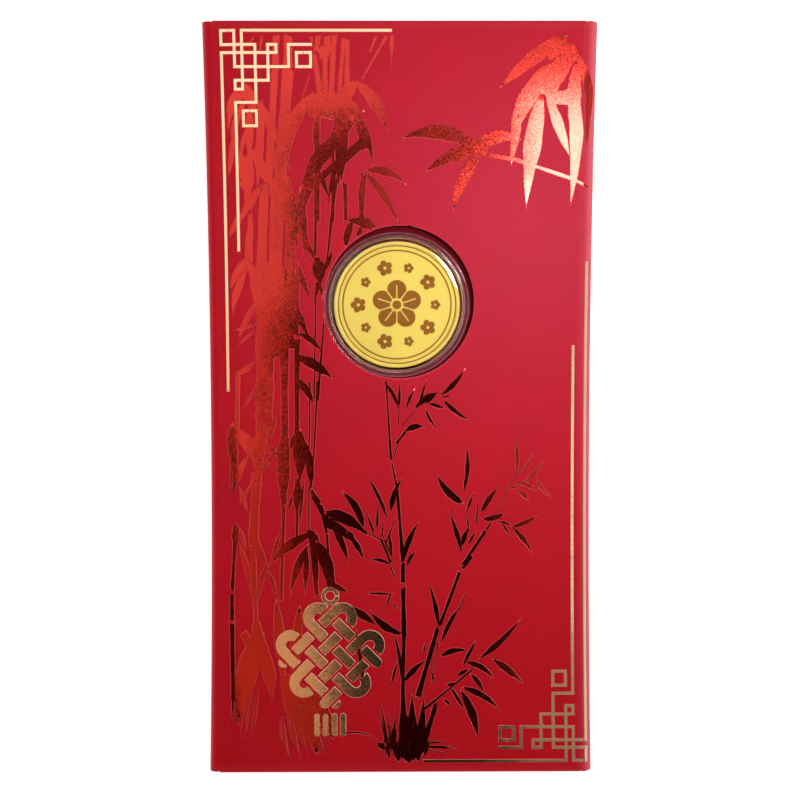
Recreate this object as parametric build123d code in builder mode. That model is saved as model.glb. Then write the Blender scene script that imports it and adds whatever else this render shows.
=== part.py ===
"""A red envelope with a coin: a folded card sleeve with a round window, a gilt coin in a clear two-piece
capsule on a carrier card, and foil stamped on the front. It lies on its back: X runs across the front,
Y towards the top crease and Z out of the front, with z = 0 at the outer faces of the folded flaps."""

import os
from math import cos, degrees, radians, sin

from build123d import *

os.makedirs("parts", exist_ok=True)

# Card sleeve
sleeve_width = 88.0  # across the front, over both side folds
sleeve_length = 170.0  # from the bottom crease to the top crease
card = 0.4  # thickness of the card
glue = 0.1  # thickness of a glue line, and the gap under the closed flap
note_room = 1.2  # depth of the pocket behind the coin carrier
foam = 2.3  # thickness of the foam tape between the carrier and the front panel
edge_gap = 0.3  # between card edges that pass each other
side_tab_width = 14.0
tab_taper = 8.0  # how much shorter the side tab is at its free edge, at each end
back_edge_inset = 1.2  # of the back panel's free edge from the left side
top_flap_length = 44.0
bottom_flap_length = 28.0
flap_corner = 9.0  # radius of a flap's free corners
side_glue_width = 7.0
bottom_glue_width = 9.0
glue_margin = 12.0  # from a glue line's end to the end of the panel
overrun = 1.0  # of a cut past the face it leaves

# Coin, capsule and what carries them
coin_radius = 14.0
coin_thickness = 1.8
coin_rim = 0.7
coin_relief = 0.15  # depth of the field below the rim
motif_relief = 0.1  # height of the blossom above the field
ring_inset = 1.6  # of the fine ring from the rim
ring_width = 0.25
petal_radius = 2.6
petal_circle_radius = 3.5  # radius on which the petals' centres lie
petals = 5
capsule_floor = 1.0
capsule_roof = 1.55
well_wall = 0.95  # of the collar round the coin, over which the lid's skirt slides
skirt_wall = 1.0
skirt_length = 0.95  # of the lid's skirt down over the collar
rim_drop = 0.6  # of the lid's outer rim below its flat window
rim_width = 1.3  # of that rim, from the outside in to the shoulder
shoulder = 0.35  # width of the slope between the rim and the window
rim_round = 0.3
coin_clear = 0.15  # round the coin, and above it
lid_clear = 0.1  # between the lid and the base
capsule_x = -0.75
capsule_y = 22.25
window_gap = 0.9  # between the capsule and the edge of the window, where they are centred
window_shift_share = 0.6  # of that gap: how far the window sits to the right of the capsule, and above it
pad_radius = 12.0  # of the adhesive disc
pad_thickness = 0.2
carrier_margin = 4.8  # from the carrier's side to the side fold
carrier_length = 62.0
foam_width = 8.0

# Stamped foil
foil = 0.12  # height of the stamped foil above the card
foil_gap = 0.15  # bare card between two foils
gold_line_width = 0.75
fret_size = 21.1
fret_left_margin = 3.9
fret_top_margin = 1.25
fret_right_margin = 0.9  # taken flat on the blank, so the outer line lies on the fold
fret_bottom_margin = 2.3
top_line_length = 38.0  # reach of a long line from the ornament's outer corner
left_outer_length = 80.6
left_inner_length = 49.2
bottom_line_length = 37.7
right_outer_length = 114.3
right_inner_length = 95.5
knot_x = -16.3
knot_y = -58.0
cord = 2.5  # width of the knot's cord
cord_pitch = 4.5
cord_count = 4  # strands each way
cord_gap = 0.45  # bare card beside a strand that passes over
loop_lead_length = 0.5  # straight length between the last crossing and a loop
hanger_radius = 1.6
hanger_line_width = 1.1
tassel_strands = 4
tassel_strand_width = 1.5
tassel_pitch = 2.0
tassel_length = 5.5
thick_culm = 6.0
culm = 3.2
slim_culm = 2.1
stem = 1.3
leaf_length = 15.0
leaf_width_share = 0.17
outer_leaf_share = 0.35  # how much shorter a fan's outer leaves are
second_leaf_share = 0.12  # how much shorter every second leaf is
node_gap = 0.5  # bare card at a culm's node
waist_share = 0.06  # how far a culm's sides draw in between nodes, of its width

# Levels above the table, from the flaps up
back_outer = card + glue
back_inner = back_outer + card
tab_outer = back_inner + glue
carrier_back = back_inner + note_room
carrier_front = carrier_back + card
front_inner = carrier_front + foam
front_outer = front_inner + card
capsule_base_level = carrier_front + pad_thickness
coin_level = capsule_base_level + capsule_floor

# Side folds, each half a tube
right_radius = (front_outer - back_outer) / 2
right_x = sleeve_width / 2 - right_radius
right_z = (front_outer + back_outer) / 2
left_radius = (front_outer - tab_outer) / 2
left_x = left_radius - sleeve_width / 2
left_z = (front_outer + tab_outer) / 2
panel_width = right_x - left_x
panel_middle = (right_x + left_x) / 2
carrier_width = panel_width - 2 * carrier_margin
top_y = sleeve_length / 2
bottom_y = -top_y
inside_y = top_y - card - edge_gap  # where panels inside the creases end

# Capsule: radii from its axis, and heights from the underside of its base
well_radius = coin_radius + coin_clear
collar_radius = well_radius + well_wall
capsule_radius = collar_radius + lid_clear + skirt_wall
collar_top = capsule_floor + coin_thickness + coin_clear
capsule_step = collar_top - skirt_length
skirt_low = capsule_step + lid_clear
roof_low = collar_top + lid_clear
capsule_height = roof_low + capsule_roof
rim_top = capsule_height - rim_drop
shoulder_radius = capsule_radius - rim_width
window_radius = capsule_radius + window_gap
window_x = capsule_x + window_shift_share * window_gap
window_y = capsule_y + window_shift_share * window_gap


def finish(builder, name):
    """Labels a finished sub-part and writes its file."""
    builder.part.label = name
    export_step(builder.part, f"parts/{name}.step")


def folded_strip(profile, inset=0.0):
    """A strip of card as wide as the front panel, less inset at each side, from its (y, z) profile."""
    with BuildSketch(Plane.YZ.offset(left_x + inset)) as section:
        with BuildLine():
            Polyline(*profile, close=True)
        make_face()
    extrude(section.sketch, amount=panel_width - 2 * inset)


def slab(x, y, width, length, low, high):
    """A flat piece centred on x, y between two levels."""
    with BuildSketch(Plane.XY.offset(low)) as outline:
        with Locations((x, y)):
            Rectangle(width, length)
    extrude(outline.sketch, amount=high - low)


# Card sleeve: the front panel is mitred at both creases, so a flap turns about its outer corner
with BuildPart() as front_panel:
    folded_strip(
        [
            (bottom_y, front_outer),
            (top_y, front_outer),
            (top_y - card, front_inner),
            (bottom_y + card, front_inner),
        ]
    )
    with BuildSketch(Plane.XY.offset(front_inner - overrun)):
        with Locations((window_x, window_y)):
            Circle(window_radius)
    extrude(amount=card + 2 * overrun, mode=Mode.SUBTRACT)
finish(front_panel, "front_panel")


def side_fold(x, z, radius, side):
    """Half a tube of card along the whole sleeve, bulging to the left (-1) or the right (1)."""
    with BuildSketch(Plane.XZ.offset(bottom_y)) as section:
        with Locations((x, z)):
            Circle(radius)
            Circle(radius - card, mode=Mode.SUBTRACT)
        with Locations((x - side * radius, z)):
            Rectangle(2 * radius, 2 * radius, mode=Mode.SUBTRACT)
    extrude(section.sketch, amount=sleeve_length)


with BuildPart() as right_fold:
    side_fold(right_x, right_z, right_radius, 1)
finish(right_fold, "right_fold")

with BuildPart() as left_fold:
    side_fold(left_x, left_z, left_radius, -1)
finish(left_fold, "left_fold")

with BuildPart() as back_panel:
    back_left = back_edge_inset - sleeve_width / 2
    slab((right_x + back_left) / 2, 0, right_x - back_left, 2 * inside_y, back_outer, back_inner)
finish(back_panel, "back_panel")

with BuildPart() as side_glue_tab:
    with BuildSketch(Plane.XY.offset(tab_outer)):
        with BuildLine():
            Polyline(
                (left_x, inside_y),
                (left_x + side_tab_width, inside_y - tab_taper),
                (left_x + side_tab_width, tab_taper - inside_y),
                (left_x, -inside_y),
                close=True,
            )
        make_face()
    extrude(amount=card)
finish(side_glue_tab, "side_glue_tab")

with BuildPart() as side_glue_line:
    glue_length = 2 * (inside_y - tab_taper - glue_margin)
    slab(left_x + side_tab_width / 2, 0, side_glue_width, glue_length, back_inner, tab_outer)
finish(side_glue_line, "side_glue_line")


def crease_profiles(y, way, flap_length):
    """Profiles of the spine at a crease and of the flap under it, mitred together at the lower corner."""
    spine = [(y, front_outer), (y + way * card, front_inner), (y + way * card, card), (y, 0)]
    free = y + way * flap_length
    flap = [(y, 0), (y + way * card, card), (free, card), (free, 0)]
    return spine, flap


bottom_spine_profile, bottom_flap_profile = crease_profiles(bottom_y, 1, bottom_flap_length)
top_spine_profile, top_flap_profile = crease_profiles(top_y, -1, top_flap_length)

with BuildPart() as bottom_spine:
    folded_strip(bottom_spine_profile, edge_gap)
finish(bottom_spine, "bottom_spine")

with BuildPart() as bottom_flap:
    folded_strip(bottom_flap_profile, edge_gap)
    fillet(bottom_flap.edges().filter_by(Axis.Z).group_by(Axis.Y)[-1], radius=flap_corner)
finish(bottom_flap, "bottom_flap")

with BuildPart() as bottom_glue_line:
    glue_y = bottom_y + bottom_flap_length / 2
    slab(panel_middle, glue_y, panel_width - 2 * glue_margin, bottom_glue_width, card, back_outer)
finish(bottom_glue_line, "bottom_glue_line")

with BuildPart() as top_spine:
    folded_strip(top_spine_profile, edge_gap)
finish(top_spine, "top_spine")

with BuildPart() as top_flap:
    folded_strip(top_flap_profile, edge_gap)
    fillet(top_flap.edges().filter_by(Axis.Z).group_by(Axis.Y)[0], radius=flap_corner)
finish(top_flap, "top_flap")

# Coin carrier: a card hung under the front panel on two strips of foam tape, clear of the note pocket
with BuildPart() as coin_carrier:
    slab(panel_middle, capsule_y, carrier_width, carrier_length, carrier_back, carrier_front)
finish(coin_carrier, "coin_carrier")

for side, name in ((-1, "foam_tape_left"), (1, "foam_tape_right")):
    with BuildPart() as foam_tape:
        tape_x = panel_middle + side * (carrier_width - foam_width) / 2
        slab(tape_x, capsule_y, foam_width, carrier_length, carrier_front, front_inner)
    finish(foam_tape, name)

capsule_axis = Axis((capsule_x, capsule_y, 0), (0, 0, 1))

with BuildPart() as adhesive_disc:
    with BuildSketch(Plane.XY.offset(carrier_front)):
        with Locations((capsule_x, capsule_y)):
            Circle(pad_radius)
    extrude(amount=pad_thickness)
finish(adhesive_disc, "adhesive_disc")

capsule_plane = Plane(origin=(capsule_x, capsule_y, capsule_base_level), x_dir=(1, 0, 0), z_dir=(0, -1, 0))


def turned(profile):
    """The solid that a (radius, height) profile sweeps round the capsule's axis."""
    with BuildSketch(capsule_plane) as section:
        with BuildLine():
            Polyline(*profile, close=True)
        make_face()
    revolve(section.sketch, axis=capsule_axis)


with BuildPart() as capsule_base:
    turned(
        [
            (0, 0),
            (capsule_radius, 0),
            (capsule_radius, capsule_step),
            (collar_radius, capsule_step),
            (collar_radius, collar_top),
            (well_radius, collar_top),
            (well_radius, capsule_floor),
            (0, capsule_floor),
        ]
    )
finish(capsule_base, "capsule_base")

with BuildPart() as capsule_lid:
    turned(
        [
            (0, roof_low),
            (collar_radius + lid_clear, roof_low),
            (collar_radius + lid_clear, skirt_low),
            (capsule_radius, skirt_low),
            (capsule_radius, rim_top),
            (shoulder_radius, rim_top),
            (shoulder_radius - shoulder, capsule_height),
            (0, capsule_height),
        ]
    )
    round_edges = capsule_lid.edges().filter_by(GeomType.CIRCLE).sort_by(Axis.Z)
    outer_rim = round_edges.filter_by(lambda e: e.radius == capsule_radius)[-1]
    fillet([outer_rim, round_edges[-1]], radius=rim_round)
finish(capsule_lid, "capsule_lid")

# Coin: a raised rim, a fine ring and a five-petalled blossom on a sunk field
with BuildPart() as coin:
    with BuildSketch(Plane.XY.offset(coin_level)):
        with Locations((capsule_x, capsule_y)):
            Circle(coin_radius)
    extrude(amount=coin_thickness)
    field_level = coin_level + coin_thickness - coin_relief
    with BuildSketch(Plane.XY.offset(field_level)):
        with Locations((capsule_x, capsule_y)):
            Circle(coin_radius - coin_rim)
    extrude(amount=coin_relief + overrun, mode=Mode.SUBTRACT)
    with BuildSketch(Plane.XY.offset(field_level)):
        with Locations((capsule_x, capsule_y)):
            Circle(coin_radius - coin_rim - ring_inset)
            Circle(coin_radius - coin_rim - ring_inset - ring_width, mode=Mode.SUBTRACT)
            with PolarLocations(petal_circle_radius, petals, start_angle=90):
                Circle(petal_radius)
    extrude(amount=motif_relief)
finish(coin, "coin")

# Corner fretwork. Lines run between nine levels, given as shares of the ornament's size and called a to k.
# Each path is a row of corners, two letters each: the level across, then the level down from the corner.
fret_level_shares = {
    "a": 0.019, "b": 0.161, "c": 0.242, "d": 0.384, "e": 0.521,
    "f": 0.611, "g": 0.744, "h": 0.829, "k": 0.981,
}
fret_paths = (
    "aa ba bb ab aa", "ab db dg bg", "ba bd gd gb kb", "cf ca", "fc ac", "eb fb fc", "eb ee be ce",
    "be bf cf", "hc kc kd hd hc", "ch dh dk ck ch",
)


def fret_bars(short_length, outer_length, inner_length):
    """Bars of one corner as (low across, low down, high across, high down), with its three long lines."""
    level = {letter: share * fret_size for letter, share in fret_level_shares.items()}
    lines = []
    for path in fret_paths:
        corners = [(level[p[0]], level[p[1]]) for p in path.split()]
        lines += list(zip(corners, corners[1:]))
    lines.append(((level["c"], level["a"]), (short_length, level["a"])))
    lines.append(((level["a"], level["c"]), (level["a"], outer_length)))
    lines.append(((level["b"], level["g"]), (level["b"], inner_length)))
    half = gold_line_width / 2
    bars = []
    for (u0, v0), (u1, v1) in lines:
        bars.append((min(u0, u1) - half, min(v0, v1) - half, max(u0, u1) + half, max(v0, v1) + half))
    return bars


def stamped(bars, grow=0.0):
    """Rectangles for bars given as (low x, low y, high x, high y), each larger by grow all round."""
    for x0, y0, x1, y1 in bars:
        with Locations(((x0 + x1) / 2, (y0 + y1) / 2)):
            Rectangle(x1 - x0 + 2 * grow, y1 - y0 + 2 * grow)


def over_fold(x0, y0, x1, y1):
    """A bar stamped on the right fold: its places across the blank are lengths round the fold."""
    start = 90 - degrees((x1 - right_x) / right_radius)
    size = degrees((x1 - x0) / right_radius)
    with BuildSketch(Plane.XZ.offset(-y1)) as section:
        with BuildLine():
            inner = CenterArc((right_x, right_z), right_radius, start, size)
            outer = CenterArc((right_x, right_z), right_radius + foil, start, size)
            Line(inner @ 0, outer @ 0)
            Line(inner @ 1, outer @ 1)
        make_face()
    extrude(section.sketch, amount=y1 - y0)


corner_x = fret_left_margin - sleeve_width / 2
corner_y = top_y - fret_top_margin
top_left_bars = []
for u0, v0, u1, v1 in fret_bars(top_line_length, left_outer_length, left_inner_length):
    top_left_bars.append((corner_x + u0, corner_y - v1, corner_x + u1, corner_y - v0))

corner_x = sleeve_width / 2 - fret_right_margin
corner_y = bottom_y + fret_bottom_margin
bottom_right_flat = []
bottom_right_folded = []
for u0, v0, u1, v1 in fret_bars(bottom_line_length, right_outer_length, right_inner_length):
    low_x, low_y, high_x, high_y = corner_x - u1, corner_y + v0, corner_x - u0, corner_y + v1
    if low_x < right_x:
        bottom_right_flat.append((low_x, low_y, min(high_x, right_x), high_y))
    if high_x > right_x:
        bottom_right_folded.append((max(low_x, right_x), low_y, high_x, high_y))

with BuildPart() as fret_upper:
    with BuildSketch(Plane.XY.offset(front_outer)):
        stamped(top_left_bars)
    extrude(amount=foil)
finish(fret_upper, "gold_fret_top_left")

with BuildPart() as fret_lower:
    with BuildSketch(Plane.XY.offset(front_outer)):
        stamped(bottom_right_flat)
    extrude(amount=foil)
    for bar in bottom_right_folded:
        over_fold(*bar)
finish(fret_lower, "gold_fret_bottom_right")

# Endless knot: strands cross at right angles on a frame turned by 45 degrees
strand_places = [(i - (cord_count - 1) / 2) * cord_pitch for i in range(cord_count)]
strand_end = strand_places[-1] + cord / 2 + loop_lead_length
knot_plane = Plane(origin=(knot_x, knot_y, front_outer), x_dir=(1, 1, 0), z_dir=(0, 0, 1))
knot_reach = (strand_end + strand_places[-1] + cord) * cos(radians(45))


def knot_face():
    """The knot's strands, looped in pairs, with bare card beside each strand that passes over another."""
    with Locations(*[(0, place) for place in strand_places]):
        SlotCenterToCenter(2 * strand_end, cord)
    with Locations(*[(place, 0) for place in strand_places]):
        SlotCenterToCenter(2 * strand_end, cord, rotation=90)
    with BuildLine() as loops:
        for i, place in enumerate(strand_places[:-1]):
            way = 1 if i % 2 == 0 else -1
            middle = place + cord_pitch / 2
            CenterArc((way * strand_end, middle), cord_pitch / 2, -90 * way, 180)
            CenterArc((middle, way * strand_end), cord_pitch / 2, 90 - 90 * way, 180)
    trace(loops.line, line_width=cord)
    shift = (cord + cord_gap) / 2
    level_gaps = []
    upright_gaps = []
    for i, x in enumerate(strand_places):
        for j, y in enumerate(strand_places):
            if (i + j) % 2 == 0:
                level_gaps += [(x, y - shift), (x, y + shift)]
            else:
                upright_gaps += [(x - shift, y), (x + shift, y)]
    with Locations(*level_gaps):
        Rectangle(cord, cord_gap, mode=Mode.SUBTRACT)
    with Locations(*upright_gaps):
        Rectangle(cord_gap, cord, mode=Mode.SUBTRACT)


def knot_trimmings():
    """The hanging loop over the knot and the tassel under it."""
    with Locations((knot_x, knot_y + knot_reach + hanger_radius)):
        Circle(hanger_radius + hanger_line_width / 2)
        Circle(hanger_radius - hanger_line_width / 2, mode=Mode.SUBTRACT)
    tassel_y = knot_y - knot_reach - cord_gap - tassel_length / 2
    tassel_side = (tassel_strands - 1) / 2
    with Locations(*[(knot_x + (i - tassel_side) * tassel_pitch, tassel_y) for i in range(tassel_strands)]):
        SlotCenterToCenter(tassel_length - tassel_strand_width, tassel_strand_width, rotation=90)


with BuildPart() as knot:
    with BuildSketch(knot_plane):
        knot_face()
    extrude(amount=foil)
    with BuildSketch(Plane.XY.offset(front_outer)):
        knot_trimmings()
    extrude(amount=foil)
finish(knot, "gold_knot")

# Bamboo in red foil. A culm runs from its foot to its tip, both in shares of the half width and the half
# length, with its width and its count of internodes. A fan of leaves has its place in the same shares, its
# heading in degrees from X, its count of leaves, its spread in degrees and a share of leaf_length.
grove_culm_shares = (
    (-0.76, -0.44, -0.63, 0.95, thick_culm, 6),
    (-0.83, -0.33, -0.83, 0.94, culm, 6),
    (-0.61, -0.50, -0.53, 0.90, culm, 6),
    (-0.46, -0.28, -0.43, 0.68, slim_culm, 5),
    (-0.37, -0.50, -0.46, -0.26, slim_culm, 2),
    (-0.41, 0.36, -0.33, 0.74, slim_culm, 3),
    (-0.88, -0.85, -0.86, -0.36, slim_culm, 3),
    (-0.20, 0.85, -0.12, 0.95, stem, 1),
    (-0.25, 0.75, -0.28, 0.95, stem, 2),
)
grove_fan_shares = (
    (-0.26, 0.76, 250, 5, 90, 1.25), (-0.37, 0.79, 215, 4, 60, 1.1), (-0.20, 0.79, 302, 3, 40, 1.2),
    (-0.18, 0.60, 322, 3, 60, 1.05), (-0.32, 0.70, 262, 4, 60, 1.3), (-0.39, 0.59, 240, 3, 60, 1.0),
    (-0.21, 0.46, 215, 4, 80, 0.7), (-0.42, 0.36, 255, 4, 80, 0.8), (-0.75, 0.76, 235, 4, 70, 1.0),
    (-0.81, 0.62, 250, 3, 60, 0.9), (-0.73, 0.51, 225, 4, 60, 0.9), (-0.53, 0.48, 285, 4, 60, 0.9),
    (-0.58, 0.71, 255, 4, 70, 1.0), (-0.79, 0.28, 245, 4, 70, 0.9), (-0.53, 0.26, 300, 4, 70, 0.9),
    (-0.43, 0.12, 305, 3, 70, 0.8), (-0.73, 0.12, 250, 4, 70, 0.9), (-0.84, -0.09, 255, 4, 60, 0.8),
    (-0.53, -0.12, 275, 5, 80, 1.0), (-0.69, -0.20, 290, 3, 50, 0.8), (-0.46, -0.26, 318, 5, 70, 1.2),
    (-0.29, -0.36, 310, 4, 70, 0.8), (-0.48, -0.37, 225, 4, 80, 1.1), (-0.47, -0.37, 278, 3, 40, 0.9),
    (-0.86, -0.36, 280, 4, 50, 1.2), (-0.76, -0.45, 300, 3, 60, 0.9),
)
spray_culm_shares = ((0.90, 0.56, 0.50, 0.64, stem, 3),)
spray_fan_shares = (
    (0.88, 0.93, 222, 3, 44, 1.5), (0.83, 0.83, 250, 4, 80, 1.9), (0.88, 0.90, 280, 3, 50, 1.5),
    (0.52, 0.68, 200, 4, 100, 1.25), (0.62, 0.72, 215, 3, 60, 1.0),
)
shoot_culm_shares = (
    (0.00, -0.93, 0.00, -0.50, stem, 3),
    (0.00, -0.50, -0.03, -0.18, stem, 2),
    (-0.03, -0.18, -0.06, 0.03, stem, 2),
    (0.06, -0.93, 0.20, -0.63, stem, 2),
    (0.20, -0.63, 0.34, -0.45, stem, 2),
    (0.34, -0.45, 0.57, -0.25, stem, 3),
    (0.13, -0.81, 0.37, -0.68, stem, 2),
)
shoot_fan_shares = (
    (0.02, -0.04, 80, 4, 80, 0.7), (0.13, -0.01, 30, 5, 90, 0.85), (0.21, 0.00, 330, 3, 60, 0.75),
    (0.03, -0.10, 20, 3, 50, 0.6), (-0.04, -0.28, 115, 3, 40, 0.9), (-0.08, -0.36, 135, 5, 70, 0.9),
    (-0.05, -0.43, 200, 4, 60, 0.7), (0.01, -0.44, 65, 3, 40, 0.9), (-0.01, -0.51, 215, 4, 70, 0.8),
    (0.33, -0.29, 105, 4, 60, 1.0), (0.42, -0.32, 40, 4, 70, 0.8), (0.47, -0.30, 350, 3, 60, 0.8),
    (0.55, -0.33, 325, 3, 40, 0.9), (0.59, -0.23, 60, 5, 90, 0.75), (0.68, -0.24, 350, 4, 70, 0.6),
    (0.32, -0.44, 115, 3, 40, 0.7), (0.20, -0.65, 105, 4, 50, 1.1), (0.21, -0.65, 60, 3, 40, 0.9),
    (0.24, -0.69, 20, 4, 50, 0.9), (0.39, -0.69, 45, 5, 60, 1.1), (0.45, -0.71, 325, 3, 40, 1.0),
    (0.34, -0.73, 290, 5, 70, 1.0), (0.21, -0.79, 330, 4, 60, 0.8), (0.00, -0.65, 160, 3, 40, 0.9),
)
growth_culm_shares = ((-0.53, -0.92, -0.69, -0.63, culm, 2),)
growth_fan_shares = (
    (-0.69, -0.63, 242, 3, 30, 1.7), (-0.73, -0.65, 285, 3, 40, 1.2), (-0.39, -0.92, 150, 5, 80, 0.9),
    (-0.53, -0.81, 270, 4, 60, 0.8), (0.00, -0.93, 95, 9, 110, 1.0), (0.05, -0.96, 60, 6, 90, 0.9),
    (-0.04, -0.96, 140, 6, 90, 0.8), (0.16, -0.91, 15, 4, 60, 0.7),
)


def culm_faces(culm_shares):
    """One face for each internode of each culm: straight ends, and sides that draw in between the nodes."""
    faces = []
    for x0, y0, x1, y1, width, count in culm_shares:
        foot = Vector(x0 * sleeve_width / 2, y0 * sleeve_length / 2)
        tip = Vector(x1 * sleeve_width / 2, y1 * sleeve_length / 2)
        along = (tip - foot).normalized()
        across = Vector(-along.Y, along.X) * (width / 2)
        step = (tip - foot).length / count
        for i in range(count):
            low = foot + along * (i * step)
            high = low + along * (step - node_gap)
            middle = (low + high) * 0.5
            waist = across * (1 - 2 * waist_share)
            with BuildLine() as outline:
                ThreePointArc(low + across, middle + waist, high + across)
                Line(high + across, high - across)
                ThreePointArc(high - across, middle - waist, low - across)
                Line(low - across, low + across)
            faces.append(make_face(outline.line, mode=Mode.PRIVATE))
    return faces


def leaf_faces(fan_shares):
    """One face for each leaf: two arcs from its base to its tip. The middle leaf of a fan is the longest."""
    faces = []
    for x, y, heading, count, spread, size_share in fan_shares:
        base = Vector(x * sleeve_width / 2, y * sleeve_length / 2)
        for i in range(count):
            turn = i / (count - 1) - 0.5
            angle = radians(heading + spread * turn)
            length = leaf_length * size_share
            length *= 1 - outer_leaf_share * abs(turn) - second_leaf_share * (i % 2)
            along = Vector(cos(angle), sin(angle)) * length
            across = Vector(-along.Y, along.X) * (leaf_width_share / 2)
            with BuildLine() as outline:
                ThreePointArc(base, base + along * 0.5 + across, base + along)
                ThreePointArc(base + along, base + along * 0.5 - across, base)
            faces.append(make_face(outline.line, mode=Mode.PRIVATE))
    return faces


# The bamboo stops short of the gold foil and of the window
with BuildSketch() as gold_clearing:
    stamped(top_left_bars, foil_gap)
    stamped(bottom_right_flat, foil_gap)
    knot_trimmings()
    with Locations((window_x, window_y)):
        Circle(window_radius + foil_gap)
with BuildSketch(knot_plane) as strand_clearing:
    knot_face()
cleared = [gold_clearing.sketch, strand_clearing.sketch.moved(Location((0, 0, -front_outer)))]

for name, culm_shares, fan_shares in (
    ("bamboo_grove", grove_culm_shares, grove_fan_shares),
    ("bamboo_spray", spray_culm_shares, spray_fan_shares),
    ("bamboo_shoots", shoot_culm_shares, shoot_fan_shares),
    ("bamboo_growth", growth_culm_shares, growth_fan_shares),
):
    with BuildPart() as bamboo:
        with BuildSketch(Plane.XY.offset(front_outer)) as print_face:
            add(culm_faces(culm_shares) + leaf_faces(fan_shares))
            with Locations((panel_middle, 0)):
                Rectangle(panel_width, 2 * inside_y, mode=Mode.INTERSECT)
            for other in cleared:
                add(other, mode=Mode.SUBTRACT)
        extrude(amount=foil)
    cleared.append(print_face.sketch_local)
    finish(bamboo, name)

print("thickness over the front card", front_outer, "and over the capsule", capsule_base_level + capsule_height)
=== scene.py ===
# %% [markdown]
# A red envelope with a coin in its front. The CAD model gives the frame: where each panel, the capsule and
# the foil lie. This file dresses it: card that is rolled and creased, foil with stamped edges, a clear
# capsule and a gilt coin. All new shapes are numpy surfaces in millimetres, turned to metres when they
# become meshes.

# %% Frame and tools
from math import cos, pi, radians, sin

import bpy
import numpy as np
from mathutils import Matrix, Vector


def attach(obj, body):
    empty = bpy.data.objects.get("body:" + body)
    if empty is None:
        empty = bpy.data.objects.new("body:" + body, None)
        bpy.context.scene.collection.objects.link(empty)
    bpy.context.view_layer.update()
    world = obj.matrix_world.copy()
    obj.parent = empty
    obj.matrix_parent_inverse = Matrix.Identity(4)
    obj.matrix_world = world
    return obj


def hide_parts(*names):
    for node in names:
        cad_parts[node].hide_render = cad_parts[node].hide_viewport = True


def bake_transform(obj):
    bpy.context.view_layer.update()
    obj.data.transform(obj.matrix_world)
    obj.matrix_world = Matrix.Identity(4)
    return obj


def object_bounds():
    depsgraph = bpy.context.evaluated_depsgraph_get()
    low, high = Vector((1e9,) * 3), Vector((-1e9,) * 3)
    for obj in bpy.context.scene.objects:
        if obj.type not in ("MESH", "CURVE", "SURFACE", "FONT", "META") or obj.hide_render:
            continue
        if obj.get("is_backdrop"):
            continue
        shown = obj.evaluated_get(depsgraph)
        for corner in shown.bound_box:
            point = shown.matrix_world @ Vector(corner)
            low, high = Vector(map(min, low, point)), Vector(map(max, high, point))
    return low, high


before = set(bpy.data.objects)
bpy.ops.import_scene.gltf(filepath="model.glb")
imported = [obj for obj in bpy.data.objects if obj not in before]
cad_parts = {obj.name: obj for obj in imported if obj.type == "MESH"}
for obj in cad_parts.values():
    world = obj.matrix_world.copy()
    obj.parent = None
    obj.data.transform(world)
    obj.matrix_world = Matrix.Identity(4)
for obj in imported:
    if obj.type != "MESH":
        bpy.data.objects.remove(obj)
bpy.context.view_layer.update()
MM = 0.001
print("nodes in the frame:", len(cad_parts))

# %% [markdown]
# The envelope is one sheet of card, folded. So its shapes are drawn on the flat blank, as a place s across
# and y along it, and then wrapped: flat over the front, round half a tube at each side, flat again over the
# back. Anything stamped on the blank can go through the same function, with its height h above the card,
# and lies on the folds as it does on the real one.

# %% The blank and how it wraps
CARD = 0.4
HALF_LENGTH = 85.0
FRONT = 5.2
RIGHT_X, RIGHT_R = 41.65, 2.35
LEFT_X, LEFT_R = -41.9, 2.1
SIDE_PULL = 0.0235  # the filled envelope is this much narrower in the middle than at its ends
CREASE_R = 0.5
PANEL_END = HALF_LENGTH - CREASE_R
BACK_END = 84.3
BACK_EDGE = 42.8  # the back panel's free edge lies this far left of the middle
SHOULDER, SHOULDER_DROP = 6.5, 0.5  # the front sinks a little towards the left fold
S_LEFT = LEFT_X - pi * LEFT_R
S_BACK = RIGHT_X + pi * RIGHT_R
S_RIGHT = S_BACK + RIGHT_X + BACK_EDGE


def pull(y):
    """Share by which the sides draw in: a parabola along the envelope, nothing at its ends."""
    return 1 - SIDE_PULL * (1 - (y / HALF_LENGTH) ** 2)


def wrap(s, y, h):
    """Place of blank point (s, y) at height h over the card: the part of s past a fold's start turns round
    it, an angle of arc length over radius, and the part past half a turn runs back under the front."""
    right = np.clip((s - RIGHT_X) / RIGHT_R, 0, pi)
    left = np.clip((LEFT_X - s) / LEFT_R, 0, pi)
    x = np.clip(s, LEFT_X, RIGHT_X) - np.clip(s - S_BACK, 0, None)
    x = x + (RIGHT_R + h) * np.sin(right) - (LEFT_R + h) * np.sin(left)
    z = FRONT + h - (RIGHT_R + h) * (1 - np.cos(right)) - (LEFT_R + h) * (1 - np.cos(left))
    t = np.clip((LEFT_X + SHOULDER - s) / SHOULDER, 0, 1)
    z = z - SHOULDER_DROP * t * t * (3 - 2 * t) * (1 + np.cos(left)) / 2
    return np.stack(np.broadcast_arrays(x * pull(y), y, z), axis=-1)


# %% [markdown]
# Every piece below ends as a list of points and a list of faces. Small functions number the faces of grids,
# rings and edges. One function makes the object, drops points that no face uses, shades it smooth up to a
# sharp edge, says which body it rides on and hides the CAD nodes it stands for.

# %% From arrays to pieces
def grid_quads(ids):
    """Quads of a grid of point numbers, or of a row of such grids."""
    corners = [ids[..., :-1, :-1], ids[..., :-1, 1:], ids[..., 1:, 1:], ids[..., 1:, :-1]]
    return np.stack(corners, axis=-1).reshape(-1, 4)


def ring_quads(ids):
    """Quads between rows of point numbers, each row closed on itself."""
    after = np.roll(ids, -1, axis=1)
    return np.stack([ids[:-1], ids[1:], after[1:], after[:-1]], axis=-1).reshape(-1, 4)


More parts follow.
